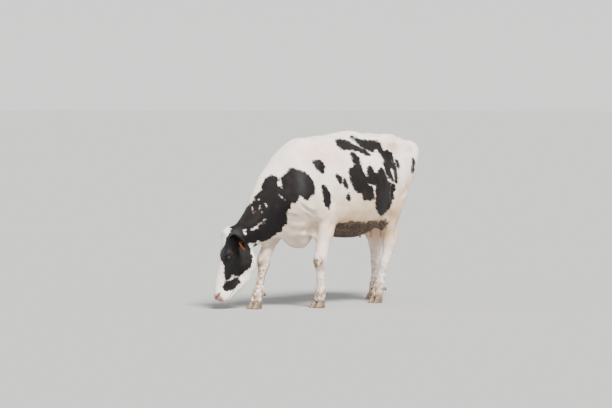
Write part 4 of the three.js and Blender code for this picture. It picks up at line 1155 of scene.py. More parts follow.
def coat_sizes(points, normals, stain):
    """How long and how dense the tufts are at each point, against those of the flank."""
    own = points - SHIFT
    x, z = own[:, 0], own[:, 2]
    face = face_places(points)
    head, legs = head_share(points), leg_share(points)
    size = np.ones(len(points))
    size *= 1 - 0.45 * ramp(z, 0.80, 0.50) * (1 - head)
    size *= 1 + 0.5 * ramp(normals[:, 2], 0.75, 0.97) * (z > 1.2)
    size *= 1 + 0.5 * ramp(x, 0.40, 0.60) * ramp(z, 0.62, 0.50) * ramp(z, 0.40, 0.46)
    size += 1.1 * stain["mud"]
    size += 0.8 * ramp(-normals[:, 0], 0.25, 0.7) * ramp(x, -0.62, -0.72) * ramp(z, 1.20, 1.0) \
        * ramp(z, 0.62, 0.72)
    size = size * (1 - head) + head * (0.26 + 0.30 * ramp(face[:, 0], -0.06, -0.17))
    poll = ramp(face[:, 2], 0.575, 0.625) * ramp(np.abs(face[:, 1]), 0.085, 0.050) \
        * ramp(face[:, 0], -0.16, -0.08)
    size += 0.9 * poll * head
    for name, (_, _, fetlock, foot) in LEGS.items():
        behind = here(fetlock) + [-0.045, 0, -0.004]
        size += 1.1 * spread(away_from(points, behind, [1, 1.2, 1.3]), 0.040)
        size += 0.25 * legs * spread((points[:, 2] - foot[2] - 0.006) / 0.014, 1.0)
    density = np.ones(len(points))
    for name in EARS:
        on_ear = ear_share(points, name)
        along, across, _ = ear_places(points, name)
        half = ear_half_width(np.clip(along, 0, 1))
        fringe = ramp(np.abs(across), half * 0.62, half * 0.9)
        size = size * (1 - on_ear) + on_ear * (0.55 + 0.95 * fringe)
        density += on_ear * (0.8 + 1.2 * fringe)
    density *= 1 - 0.75 * stain["udder"] - 0.25 * stain["thin"]
    density *= (1 - stain["nose"]) * (1 - stain["lips"] * 0.85) * (1 - stain["lids"])
    size *= 1 - 0.5 * stain["udder"]
    density *= 1 + 3.5 * head + 1.2 * legs
    density *= points[:, 2] > 0.052
    for place in TEATS:
        density *= (np.hypot(x - place[0], own[:, 1] - place[1]) > 0.026) | (z > 0.640) | (z < 0.50)
    return np.clip(size, 0.2, 4), np.clip(density, 0, 4)


# ------------------------------------------------------------------ nodes

class Sheet:
    """A node tree being drawn; `put` adds a node and joins what is given to its sockets."""

    def __init__(self, tree):
        self.tree = tree
        self.count = 0

    def put(self, kind, settings=None, **sockets):
        made = self.tree.nodes.new(kind)
        made.location = (self.count % 8 * 220, -(self.count // 8) * 260)
        self.count += 1
        for name, value in (settings or {}).items():
            setattr(made, name, value)
        for name, value in sockets.items():
            self.give(made, int(name[1:]) if name[0] == "_" else name.replace("_", " "), value)
        return made

    def give(self, made, name, value):
        socket = made.inputs[name]
        if isinstance(value, bpy.types.NodeSocket):
            self.tree.links.new(value, socket)
        else:
            socket.default_value = value

    def sums(self, operation, a, b=0.0, c=0.0):
        return self.put("ShaderNodeMath", {"operation": operation}, _0=a, _1=b, _2=c).outputs[0]

    def step(self, value, low, high, to_low=0.0, to_high=1.0):
        made = self.put("ShaderNodeMapRange", {"interpolation_type": "SMOOTHSTEP"}, Value=value)
        for name, number in (("From Min", low), ("From Max", high), ("To Min", to_low), ("To Max", to_high)):
            made.inputs[name].default_value = number
        return made.outputs["Result"]

    def blend(self, share, a, b, kind="MIX"):
        made = self.put("ShaderNodeMix", {"data_type": "RGBA", "blend_type": kind})
        self.give(made, 0, share)
        for index, value in ((6, a), (7, b)):
            self.give(made, index, value)
        return made.outputs[2]

    def vectors(self, operation, a, b):
        return self.put("ShaderNodeVectorMath", {"operation": operation}, _0=a, _1=b).outputs[0]

    def between(self, share, a, b):
        return self.put("ShaderNodeMix", {"data_type": "FLOAT"}, _0=share, _2=a, _3=b).outputs[0]

    def attribute(self, name):
        return self.put("ShaderNodeAttribute", {"attribute_name": name}).outputs["Fac"]

    def noise(self, place, scale, detail):
        return self.put("ShaderNodeTexNoise", Vector=place, Scale=scale, Detail=detail).outputs[0]

    def stretched(self, place, scale):
        return self.put("ShaderNodeMapping", Vector=place, Scale=scale).outputs[0]

    def finish(self, shader, height=None, strength=1.0, depth=0.001):
        """Joins the shader to the output, with bumps as deep as `depth` where there is a height."""
        if height is not None:
            bump = self.put("ShaderNodeBump", Height=height, Strength=strength, Distance=depth)
            self.give(shader, "Normal", bump.outputs[0])
        self.put("ShaderNodeOutputMaterial", Surface=shader.outputs[0])


def new_material(name):
    """An empty material, the sheet its nodes are drawn on, and the place on the piece that they read."""
    material = bpy.data.materials.new(name)
    material.use_nodes = True
    material.node_tree.nodes.clear()
    sheet = Sheet(material.node_tree)
    return material, sheet, sheet.put("ShaderNodeTexCoord").outputs["Object"]


def new_group(name, inputs, outputs):
    kinds = {"value": "NodeSocketFloat", "colour": "NodeSocketColor", "vector": "NodeSocketVector"}
    tree = bpy.data.node_groups.new(name, "ShaderNodeTree")
    for label, kind, value in inputs:
        socket = tree.interface.new_socket(label, in_out="INPUT", socket_type=kinds[kind])
        socket.default_value = value
    for label, kind in outputs:
        tree.interface.new_socket(label, in_out="OUTPUT", socket_type=kinds[kind])
    sheet = Sheet(tree)
    return sheet, sheet.put("NodeGroupInput").outputs, sheet.put("NodeGroupOutput")


def colour(red, green, blue):
    """A colour given as it would be painted, 0 to 255, for a shader."""
    parts = [((c / 255 + 0.055) / 1.055) ** 2.4 if c > 10 else c / 3294.6 for c in (red, green, blue)]
    return (*parts, 1.0)


# ------------------------------------------------------------------ what the hide and coat share

STAINS = ["mud", "cream", "worn", "feet", "spots", "udder", "nose", "lips", "lids", "thin", "legs"]


def strand_group():
    """Noise drawn out along the lie of the hair: coarse locks and fine hairs."""
    sheet, given, result = new_group(
        "strands", [("Place", "vector", (0, 0, 0)), ("Upright", "value", 0.0), ("Length", "value", 0.030),
                    ("Width", "value", 0.007)], [("Locks", "value"), ("Hairs", "value")])
    back = sheet.put("ShaderNodeMapping", Rotation=(0, math.radians(26), 0)).outputs[0]
    sheet.give(back.node, "Vector", given["Place"])
    outs = []
    for size in (1.0, 0.28):
        long = sheet.sums("DIVIDE", 1.0 / size, given["Length"])
        wide = sheet.sums("DIVIDE", 1.0 / size, given["Width"])
        level = sheet.put("ShaderNodeCombineXYZ", X=long, Y=wide, Z=wide).outputs[0]
        stood = sheet.put("ShaderNodeCombineXYZ", X=wide, Y=wide, Z=long).outputs[0]
        found = []
        for place, scale in ((back, level), (given["Place"], stood)):
            scaled = sheet.vectors("MULTIPLY", place, scale)
            found.append(sheet.put("ShaderNodeTexNoise", Vector=scaled, Scale=1.0, Detail=2.0,
                                   Roughness=0.6).outputs[0])
        outs.append(sheet.between(given["Upright"], *found))
    sheet.give(result, "Locks", outs[0])
    sheet.give(result, "Hairs", outs[1])
    return sheet.tree


def hide_group(strands):
    """Her colours, from the black-and-white of the coat to the dirt and painted shade on it."""
    sheet, given, result = new_group(
        "hide_colours",
        [("Place", "vector", (0, 0, 0)), ("Black", "value", 0.0)]
        + [(s.title(), "value", 0.0) for s in STAINS],
        [("Colour", "colour"), ("Black share", "value"), ("Wet", "value"), ("Height", "value")])

    def stain(under, name, share, over):
        """One colour laid over what is under it, for dirt, wear, bare skin and painted shade alike."""
        return sheet.blend(sheet.sums("MULTIPLY", given[name], share), under, over)

    strand = sheet.put("ShaderNodeGroup", {"node_tree": strands}, Place=given["Place"], Upright=given["Legs"])
    locks, hairs = strand.outputs
    broad = sheet.noise(given["Place"], 9.0, 3.0)
    fine = sheet.noise(given["Place"], 60.0, 3.0)
    # the ragged edge of a patch, a few millimetres deep
    rag = sheet.sums("MULTIPLY_ADD", sheet.sums("SUBTRACT", locks, 0.5), 0.036,
                     sheet.sums("MULTIPLY", sheet.sums("SUBTRACT", hairs, 0.5), 0.014))
    dapple = sheet.noise(given["Place"], 34.0, 2.0)
    rag = sheet.sums("MULTIPLY_ADD", sheet.sums("SUBTRACT", dapple, 0.30), 0.030, rag)
    black = sheet.step(sheet.sums("ADD", given["Black"], rag), -0.0035, 0.0035)
    white = sheet.blend(sheet.step(broad, 0.35, 0.70), colour(240, 232, 225), colour(230, 219, 208))
    white = sheet.blend(sheet.step(locks, 0.40, 0.72, 0.0, 0.35), white, colour(205, 190, 174))
    white = sheet.blend(sheet.step(hairs, 0.45, 0.75, 0.0, 0.28), white, colour(188, 172, 156))
    # painted shade: the white turns cream lower down her barrel, and on her lower thighs
    white = stain(white, "Cream", sheet.step(broad, 0.25, 0.65, 0.60, 1.00), colour(208, 176, 138))
    white = stain(white, "Thin", sheet.step(fine, 0.30, 0.62, 0.35, 0.90), colour(224, 176, 158))
    dark = sheet.blend(sheet.step(locks, 0.40, 0.72), colour(11, 10, 11), colour(19, 17, 17))
    dark = sheet.blend(sheet.step(hairs, 0.50, 0.75, 0.0, 0.50), dark, colour(50, 43, 40))
    dark = sheet.blend(sheet.step(broad, 0.52, 0.72, 0.0, 0.40), dark, colour(44, 33, 28))
    hide = sheet.blend(black, white, dark)
    # bare skin: udder, lids, nose and lips
    bare = sheet.blend(sheet.step(fine, 0.35, 0.65), colour(214, 164, 146), colour(196, 140, 124))
    hide = stain(hide, "Udder", 0.80, bare)
    muzzle = sheet.blend(sheet.step(fine, 0.40, 0.62), colour(206, 160, 148), colour(170, 122, 112))
    muzzle = sheet.blend(sheet.step(broad, 0.50, 0.62, 0.0, 0.6), muzzle, colour(120, 88, 82))
    hide = sheet.blend(given["Nose"], hide, muzzle)
    hide = stain(hide, "Lips", 0.55, colour(176, 132, 122))
    # dark lid skin; the same dark paints shade inside the nostrils
    hide = sheet.blend(given["Lids"], hide, colour(34, 28, 26))
    # dirt and wear; the dung crust under her belly is also painted dark as her underside's shade
    crust = sheet.blend(sheet.step(fine, 0.35, 0.68), colour(58, 45, 35), colour(122, 98, 76))
    crust = sheet.blend(sheet.step(broad, 0.42, 0.62, 0.0, 0.8), crust, colour(52, 42, 34))
    caked = sheet.step(sheet.sums("MULTIPLY_ADD", fine, 0.9, given["Mud"]), 0.70, 1.05)
    hide = sheet.blend(caked, hide, crust)
    hide = stain(hide, "Worn", sheet.step(fine, 0.30, 0.55, 0.45, 0.95), colour(112, 84, 50))
    dirt = sheet.blend(sheet.step(fine, 0.40, 0.62), colour(160, 126, 98), colour(112, 84, 62))
    hide = stain(hide, "Feet", sheet.step(dapple, 0.34, 0.60, 0.25, 0.95), dirt)
    hide = stain(hide, "Spots", 0.8, colour(84, 66, 52))
    sheet.give(result, "Colour", hide)
    sheet.give(result, "Black share", black)
    sheet.give(result, "Wet", sheet.sums("MAXIMUM", given["Nose"], given["Lids"]))
    height = sheet.sums("MULTIPLY_ADD", locks, 0.7, sheet.sums("MULTIPLY", hairs, 0.3))
    sheet.give(result, "Height", height)
    return sheet.tree


def hide_material(name, hide, bump, sheen):
    material, sheet, place = new_material(name)
    colours = sheet.put("ShaderNodeGroup", {"node_tree": hide}, Place=place, Black=sheet.attribute("black"))
    for stain in STAINS:
        sheet.give(colours, stain.title(), sheet.attribute(stain))
    shader = sheet.put("ShaderNodeBsdfPrincipled", Base_Color=colours.outputs["Colour"])
    rough = sheet.step(colours.outputs["Black share"], 0.0, 1.0, 0.72, 0.56)
    sheet.give(shader, "Roughness", sheet.between(colours.outputs["Wet"], rough, 0.32))
    sheet.give(shader, "Specular IOR Level", sheet.step(colours.outputs["Black share"], 0.0, 1.0, 0.32, 0.16))
    shader.inputs["Sheen Weight"].default_value = sheen
    shader.inputs["Sheen Roughness"].default_value = 0.5
    pores = sheet.put("ShaderNodeTexVoronoi", Vector=place, Scale=260.0).outputs["Distance"]
    leather = sheet.sums("MULTIPLY", pores, colours.outputs["Wet"])
    height = sheet.sums("MULTIPLY_ADD", leather, 0.25, colours.outputs["Height"])
    sheet.finish(shader, height, bump, 0.004)
    return material


# ------------------------------------------------------------------ tufts

TUFTS_PER_SQUARE_METRE = 3500.0     # in each coat piece, on the flank
COAT_SEEDS = {"coat_a": 3, "coat_b": 17, "coat_c": 29, "coat_d": 41}


def tuft_tree(material):
    """Strews bent, tapering locks over a skin, by its own density, size and lie."""
    tree = bpy.data.node_groups.new("tufts", "GeometryNodeTree")
    face = tree.interface
    face.new_socket("Geometry", in_out="OUTPUT", socket_type="NodeSocketGeometry")
    face.new_socket("Geometry", in_out="INPUT", socket_type="NodeSocketGeometry")
    for label, value in (("Per square metre", 9000.0), ("Length", 0.016), ("Width", 0.0026), ("Lift", 0.11),
                         ("Bend", 0.16), ("Unruly", 0.22)):
        face.new_socket(label, in_out="INPUT", socket_type="NodeSocketFloat").default_value = value
    face.new_socket("Seed", in_out="INPUT", socket_type="NodeSocketInt").default_value = 1
    sheet = Sheet(tree)
    given = sheet.put("NodeGroupInput").outputs
    result = sheet.put("NodeGroupOutput")

    def named(label, kind):
        return sheet.put("GeometryNodeInputNamedAttribute", {"data_type": kind}, Name=label).outputs[0]

    size = named("size", "FLOAT")
    density = sheet.sums("MULTIPLY", named("density", "FLOAT"), given["Per square metre"])
    strewn = sheet.put("GeometryNodeDistributePointsOnFaces", Mesh=given["Geometry"], Density=density,
                       Seed=given["Seed"])
    # one lock: a strip three rows long, narrowing to its tip, with its root just under the skin
    strip = sheet.put("GeometryNodeMeshGrid", Size_X=1.0, Size_Y=1.0, Vertices_X=2, Vertices_Y=4)
    at = sheet.put("ShaderNodeSeparateXYZ", _0=sheet.put("GeometryNodeInputPosition").outputs[0])
    t = sheet.sums("ADD", at.outputs["Y"], 0.5)
    narrow = sheet.sums("SUBTRACT", 1.04, sheet.sums("POWER", t, 1.6))
    across = sheet.sums("MULTIPLY", sheet.sums("MULTIPLY", at.outputs["X"], narrow), given["Width"])
    ahead = sheet.sums("MULTIPLY", t, given["Length"])
    arch = sheet.sums("SUBTRACT", t, sheet.sums("POWER", t, 2.0))
    bow = sheet.sums("MULTIPLY", sheet.sums("MULTIPLY", arch, given["Bend"]), given["Length"])
    above = sheet.sums("SUBTRACT", bow, 0.0006)
    shaped = sheet.put("GeometryNodeSetPosition", Geometry=strip.outputs[0],
                       Position=sheet.put("ShaderNodeCombineXYZ", X=across, Y=ahead, Z=above).outputs[0])
    flat_place = sheet.put("ShaderNodeCombineXYZ", X=at.outputs["X"], Y=at.outputs["Y"]).outputs[0]
    local = sheet.vectors("MULTIPLY", flat_place, (0.003, 0.003, 0.0))
    kept = sheet.put("GeometryNodeStoreNamedAttribute", {"data_type": "FLOAT_VECTOR", "domain": "POINT"},
                     Geometry=shaped.outputs[0], Name="patch", Value=local)
    # its turn: flat on the skin, along the lie, then lifted and swung a little
    flat = sheet.put("FunctionNodeAlignRotationToVector", {"axis": "Z"}, Vector=strewn.outputs["Normal"])
    laid = sheet.put("FunctionNodeAlignRotationToVector", {"axis": "Y", "pivot_axis": "Z"},
                     Rotation=flat.outputs[0], Vector=named("lie", "FLOAT_VECTOR"))

    def chance(low, high, add):
        return sheet.put("FunctionNodeRandomValue", {"data_type": "FLOAT"}, _2=low, _3=high,
                         Seed=sheet.sums("ADD", given["Seed"], add)).outputs[1]

    swing = sheet.sums("MULTIPLY", chance(-1.6, 1.6, 11.0), given["Unruly"])
    rise = sheet.sums("MULTIPLY", chance(0.35, 1.6, 12.0), given["Lift"])
    roll = sheet.sums("MULTIPLY", chance(-1.5, 1.5, 13.0), given["Unruly"])
    euler = sheet.put("FunctionNodeEulerToRotation",
                      _0=sheet.put("ShaderNodeCombineXYZ", X=rise, Y=roll, Z=swing).outputs[0])
    turned = sheet.put("FunctionNodeRotateRotation", {"rotation_space": "LOCAL"}, Rotation=laid.outputs[0],
                       _1=euler.outputs[0])
    longer = sheet.sums("MULTIPLY", size, chance(0.65, 1.35, 14.0))
    wider = sheet.sums("POWER", size, 0.55)
    placed = sheet.put("GeometryNodeInstanceOnPoints", Points=strewn.outputs["Points"],
                       Instance=kept.outputs[0], Rotation=turned.outputs[0],
                       Scale=sheet.put("ShaderNodeCombineXYZ", X=wider, Y=longer, Z=longer).outputs[0])
    real = sheet.put("GeometryNodeRealizeInstances", Geometry=placed.outputs[0])
    patch = sheet.vectors("ADD", named("root", "FLOAT_VECTOR"), named("patch", "FLOAT_VECTOR"))
    mapped = sheet.put("GeometryNodeStoreNamedAttribute", {"data_type": "FLOAT2", "domain": "CORNER"},
                       Geometry=real.outputs[0], Name="OFBake", Value=patch)
    smooth = sheet.put("GeometryNodeSetShadeSmooth", Geometry=mapped.outputs[0])
    painted = sheet.put("GeometryNodeSetMaterial", Geometry=smooth.outputs[0], Material=material)
    sheet.give(result, "Geometry", painted.outputs[0])
    return tree


def strew(name, skin_object, tree, settings):
    """Makes one coat piece: the tufts that the tree grows on the skin, as a plain mesh."""
    obj = new_object(name, skin_object.data)
    grown = obj.modifiers.new("tufts", "NODES")
    grown.node_group = tree
    sockets = {s.name: s.identifier for s in tree.interface.items_tree if s.in_out == "INPUT"}
    for label, value in settings.items():
        grown[sockets[label]] = value
    obj.data = worked_in(obj)
    obj.modifiers.clear()
    return obj


# ------------------------------------------------------------------ the whole skin

def near_places(*balls):
    """A chooser of faces for `refine`: those within reach of any of the places."""
    def chosen(centres):
        found = np.zeros(len(centres), bool)
        for place, reach in balls:
            found |= np.linalg.norm(centres - place, axis=1) < reach
        return found
    return chosen


def head_and_legs_and_teats(centres):
    face = face_places(centres)
    on_head = (face[:, 0] > -0.30) & (centres[:, 2] < 0.76) & (np.abs(face[:, 1]) < 0.3)
    tail, _ = near_tail(centres)
    return on_head | (centres[:, 2] < 0.54) | (tail < 0.055) | (teat_share(centres) > 0)


def make_skin():
    obj = joined_flesh()
    skin = Skin(obj.data)
    tail_distance, _ = near_tail(skin.points)
    head, legs = head_share(skin.points), leg_share(skin.points)
    free = ramp(tail_distance, 0.06, 0.10) * (1 - teat_share(skin.points))
    skin.fair(17, free * (1 - 0.6 * head) * (1 - 0.7 * legs))
    limb = ramp(skin.points[:, 2], 0.80, 0.66) * (1 - head)
    skin.relax(5, 0.5, free * (1 - head) * (1 - limb))
    skin.relax(1, 0.5, free)
    skin.push(-COAT_DEPTH + (COAT_DEPTH - FINE_COAT) * np.maximum(head, legs) - OVERLAP + 0.0035 * legs
              + 0.001 * head)
    tidy_tail(skin)
    tidy_teats(skin)
    shape_back(skin)
    shape_brisket(skin)
    carve_body(skin)
    carve_seen_folds(skin)
    skin.relax(1, 0.4, 1 - np.maximum(head, legs))
    skin.store()
    refine(obj.data, head_and_legs_and_teats)
    skin = Skin(obj.data)
    skin.relax(2, 0.5, np.maximum(head_share(skin.points), leg_share(skin.points)))
    skin.store()
    muzzle = (on_face([0.01, 0, 0.10]), 0.115)
    teats = [(here([x, y, 0.585]), 0.045) for x, y in TEATS]
    refine(obj.data, near_places((LEFT_EYE, 0.062), (RIGHT_EYE, 0.062), muzzle, *teats))
    skin = Skin(obj.data)
    skin.relax(3, 0.5, np.maximum(head_share(skin.points), teat_share(skin.points)))
    tidy_tail(skin)
    tidy_teats(skin)
    for eye, side in ((LEFT_EYE, 1), (RIGHT_EYE, -1)):
        raise_orbit(skin, eye, side)
    carve_head(skin)
    seat_dewclaws(skin)
    carve_legs(skin)
    skin.relax(1, 0.35, np.maximum(head_share(skin.points), leg_share(skin.points)))
    skin.store()
    refine(obj.data, near_places((LEFT_EYE, 0.036), (RIGHT_EYE, 0.036)))
    skin = Skin(obj.data)
    skin.relax(2, 0.5, head_share(skin.points))
    for eye, side in ((LEFT_EYE, 1), (RIGHT_EYE, -1)):
        shape_eye(skin, eye, side)
    skin.store()
    join_ears(obj)
    skin = Skin(obj.data)
    roots = np.zeros(len(skin.points))
    for x, y in TEATS:
        roots = np.maximum(roots, spread(np.linalg.norm(skin.points - here([x, y, 0.622]), axis=1), 0.020))
    for name in EARS:
        place, along, _, _ = ear_axes(EARS[name])
        roots = np.maximum(roots, spread(np.linalg.norm(skin.points - place - along * 0.012, axis=1), 0.034))
    skin.relax(6, 0.5, roots)
    skin.store()
    return obj


def mark_skin(obj):
    """Writes what the coat and the materials need to know at each point of the skin."""
    skin = Skin(obj.data)
    normals = skin.normals()
    stain = stains(skin.points)
    black = black_depth(skin.points, normals)
    head = head_share(skin.points)
    for name in EARS:
        on_ear = ear_share(skin.points, name)
        along, across, _ = ear_places(skin.points, name)
        _, _, _, facing = ear_axes(EARS[name])
        half = ear_half_width(np.clip(along, 0, 1))
        inner = (normals @ facing > 0.1) * ramp(np.abs(across), half * 0.95, half * 0.70) \
            * ramp(along, 0.96, 0.85)
        pale = 0.020 - (0.050 if name == "right_ear" else 0.009) * inner
        black = black * (1 - on_ear) + on_ear * pale
        stain["thin"] = np.maximum(stain["thin"], on_ear * inner)
    stain["legs"] = np.maximum(leg_share(skin.points), ramp(skin.points[:, 0] - SHIFT[0], -0.50, -0.64)
                               * ramp(skin.points[:, 2], 1.25, 1.05))
    stain["legs"] = np.maximum(stain["legs"], head)
    size, density = coat_sizes(skin.points, normals, stain)
    for label, values in dict(stain, black=black, size=size, density=density).items():
        write_values(obj.data, label, values)
    layer = obj.data.attributes.new("lie", "FLOAT_VECTOR", "POINT")
    layer.data.foreach_set("vector", lie_of_coat(skin.points, normals).astype(np.float32).ravel())


def unwrap(obj):
    """Lays the skin out flat, as islands that face about one way."""
    for layer in list(obj.data.uv_layers):
        obj.data.uv_layers.remove(layer)
    obj.data.uv_layers.new(name="OFBake")
    bpy.ops.object.select_all(action="DESELECT")
    bpy.context.view_layer.objects.active = obj
    obj.select_set(True)
    bpy.ops.object.mode_set(mode="EDIT")
    bpy.ops.mesh.select_all(action="SELECT")
    bpy.ops.uv.smart_project(angle_limit=math.radians(66), island_margin=0.002)
    bpy.ops.object.mode_set(mode="OBJECT")
    obj.select_set(False)


# ------------------------------------------------------------------ eyes

def make_eyeball(name, node, side):
    """A glassy ball with a shallow cornea, turned the way the eye looks."""
    look, long, lift = eye_axes(side)
    centre = LEFT_EYE if side > 0 else RIGHT_EYE
    rings, turns = 30, 48
    verts = [centre + look * (EYE_RADIUS + 0.0016)]
    for k in range(1, rings):
        polar = math.pi * k / rings
        for i in range(turns):
            go = 2 * math.pi * i / turns
            radius = EYE_RADIUS - 0.0002 + 0.0018 * math.exp(-(polar / 0.62) ** 4)
            verts.append(centre + radius * (math.cos(polar) * look + math.sin(polar)
                                            * (math.cos(go) * long + math.sin(go) * lift)))
    verts.append(centre - look * (EYE_RADIUS - 0.0002))
    faces = [[0, 1 + i, 1 + (i + 1) % turns] for i in range(turns)]
    for k in range(rings - 2):
        a, b = 1 + k * turns, 1 + (k + 1) * turns
        faces += [[a + i, b + i, b + (i + 1) % turns, a + (i + 1) % turns] for i in range(turns)]
    last = 1 + (rings - 2) * turns
    faces += [[last + i, len(verts) - 1, last + (i + 1) % turns] for i in range(turns)]
    ball = new_object(name, closed_mesh(name, verts, faces))
    # how far from the middle of the pupil, along the eye's length and across it
    for label, axis in (("eye_long", long), ("eye_lift", lift)):
        write_values(ball.data, label, [(v - centre) @ axis for v in verts])
    shade_smooth(ball)
    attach(ball, "root")
    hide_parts(node)
    return ball


def eye_material():
    material, sheet, place = new_material("wet_eye")
    long, lift = sheet.attribute("eye_long"), sheet.attribute("eye_lift")

    def oval(half_length, half_height):
        """0 at the middle of an oval and 1 at its edge."""
        parts = [sheet.sums("POWER", sheet.sums("ABSOLUTE", sheet.sums("DIVIDE", v, r)), 2.0)
                 for v, r in ((long, half_length), (lift, half_height))]
        return sheet.sums("ADD", *parts)

    pupil = oval(0.0090, 0.0052)
    iris = oval(0.0178, 0.0165)
    streaks = sheet.noise(place, 420.0, 3.0)
    brown = sheet.blend(streaks, colour(44, 25, 15), colour(16, 10, 8))
    dark = sheet.blend(sheet.step(pupil, 0.85, 1.15), colour(4, 4, 6), brown)
    rim = sheet.blend(sheet.step(iris, 0.70, 1.0), dark, colour(14, 9, 7))
    white = sheet.blend(sheet.step(streaks, 0.45, 0.7), colour(120, 100, 92), colour(84, 48, 40))
    ball = sheet.blend(sheet.step(iris, 1.05, 1.35), rim, white)
    shader = sheet.put("ShaderNodeBsdfPrincipled", Base_Color=ball, Roughness=0.05)
    shader.inputs["IOR"].default_value = 1.38
    sheet.finish(shader)
    return material


# ------------------------------------------------------------------ feet

CLAWS = {leg: [f"{leg}_{side}_{kind}" for kind in ("hoof", "dewclaw") for side in ("left", "right")]
         for leg in LEGS}
CLAW_STEP = 0.0022
GROWTH_RING = 0.0085    # from one ring of a hoof's wall to the next


def seat_dewclaws(skin):
    """Draws the skin out to the roots of the dewclaws."""
    for leg, nodes in CLAWS.items():
        ankle = here(LEGS[leg][2])
        for node in nodes[2:]:
            middle = middle_of(node)
            inward = unit((ankle - middle) * [1, 1, 0.3])
            root = middle + 0.009 * inward
            nearest = skin.points[np.argmin(((skin.points - middle) ** 2).sum(1))]
            gap = root - nearest
            if gap @ inward > 0:
                continue
            near = spread(np.linalg.norm(skin.points - nearest, axis=1), 0.020)
            skin.points += near[:, None] * gap


def make_foot(leg):
    """A foot's two claws and two dewclaws, rounded, ringed and a little chipped at the edge."""
    obj = solids_joined(leg + "_claws", [merged_copy(node, 0.0) for node in CLAWS[leg]])
    even_squares(obj, CLAW_STEP)
    claws = Skin(obj.data)
    z0 = claws.points[:, 2].copy()
    on_sole = z0 < 0.004
    claws.fair(10)
    claws.relax(9, 0.5)
    z = claws.points[:, 2]
    foot = here(LEGS[leg][3])
    hoof = ramp(z0, 0.070, 0.062)
    for node in CLAWS[leg][:2]:
        middle = middle_of(node)
        own = hoof * (np.abs(claws.points[:, 1] - middle[1]) < 0.030)
        drawn_in = own * (0.15 * ramp(z, 0.010, 0.060) - 0.02)
        claws.points[:, 0] -= 0.6 * drawn_in * (claws.points[:, 0] - middle[0])
        claws.points[:, 1] -= drawn_in * (claws.points[:, 1] - middle[1])
    ahead = claws.points[:, 0] - foot[0]
    rings = np.sin((z + 0.30 * ahead + 0.0015 * grain(claws.points, 0.03, 31)) * 2 * math.pi / GROWTH_RING)
    worn = grain(claws.points, 0.012, 32)
    amount = hoof * (0.00022 * rings + 0.0004 * worn) * ramp(z, 0.003, 0.010)
    amount -= hoof * 0.0022 * spread((z - 0.002) / 0.006, 1.0) * ramp(worn, -0.2, 0.5)
    claws.push(amount + 0.0014)
    claws.points[:, 2] = np.where(on_sole, np.minimum(claws.points[:, 2], 0.0006), claws.points[:, 2])
    claws.points[:, 2] = np.maximum(claws.points[:, 2], 0.0)
    claws.store()
    shade_smooth(obj)
    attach(obj, "root")
    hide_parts(*CLAWS[leg])
    return obj


def horn_material():
    material, sheet, place = new_material("claw_horn")
    flat = sheet.stretched(place, (6.0, 6.0, 120.0))
    bands = sheet.noise(flat, 1.0, 3.0)
    stood = sheet.stretched(place, (220.0, 220.0, 22.0))
    grain_lines = sheet.noise(stood, 1.0, 3.0)
    dirt = sheet.noise(place, 38.0, 4.0)
    horn = sheet.blend(sheet.step(bands, 0.35, 0.68), colour(112, 92, 70), colour(66, 53, 42))
    horn = sheet.blend(sheet.step(grain_lines, 0.42, 0.66, 0.0, 0.45), horn, colour(146, 124, 98))
    height = sheet.put("ShaderNodeSeparateXYZ", _0=place).outputs["Z"]
    caked = sheet.sums("MULTIPLY", sheet.step(dirt, 0.42, 0.60), sheet.step(height, 0.050, 0.0, 0.25, 0.95))
    horn = sheet.blend(caked, horn, colour(98, 76, 55))
    shader = sheet.put("ShaderNodeBsdfPrincipled", Base_Color=horn,
                       Roughness=sheet.sums("MULTIPLY_ADD", caked, 0.35, 0.42))
    sheet.finish(shader, sheet.sums("MULTIPLY_ADD", dirt, 0.6, grain_lines), 0.35, 0.0012)
    return material


def tag_material():
    """Orange plastic that has been out in all weathers."""
    material, sheet, place = new_material("tag_plastic")
    cloud = sheet.noise(place, 70.0, 4.0)
    scratch = sheet.noise(sheet.stretched(place, (900.0, 900.0, 60.0)), 1.0, 2.0)
    plastic = sheet.blend(sheet.step(cloud, 0.35, 0.65), colour(168, 92, 24), colour(142, 72, 18))
    plastic = sheet.blend(sheet.step(scratch, 0.56, 0.68, 0.0, 0.35), plastic, colour(214, 158, 96))
    grime = sheet.step(cloud, 0.52, 0.72, 0.0, 0.75)
    plastic = sheet.blend(grime, plastic, colour(92, 62, 34))
    shader = sheet.put("ShaderNodeBsdfPrincipled", Base_Color=plastic,
                       Roughness=sheet.sums("MULTIPLY_ADD", grime, 0.30, 0.36))
    sheet.finish(shader, scratch, 0.15, 0.0006)
    return material


# ------------------------------------------------------------------ long hair, lock by lock

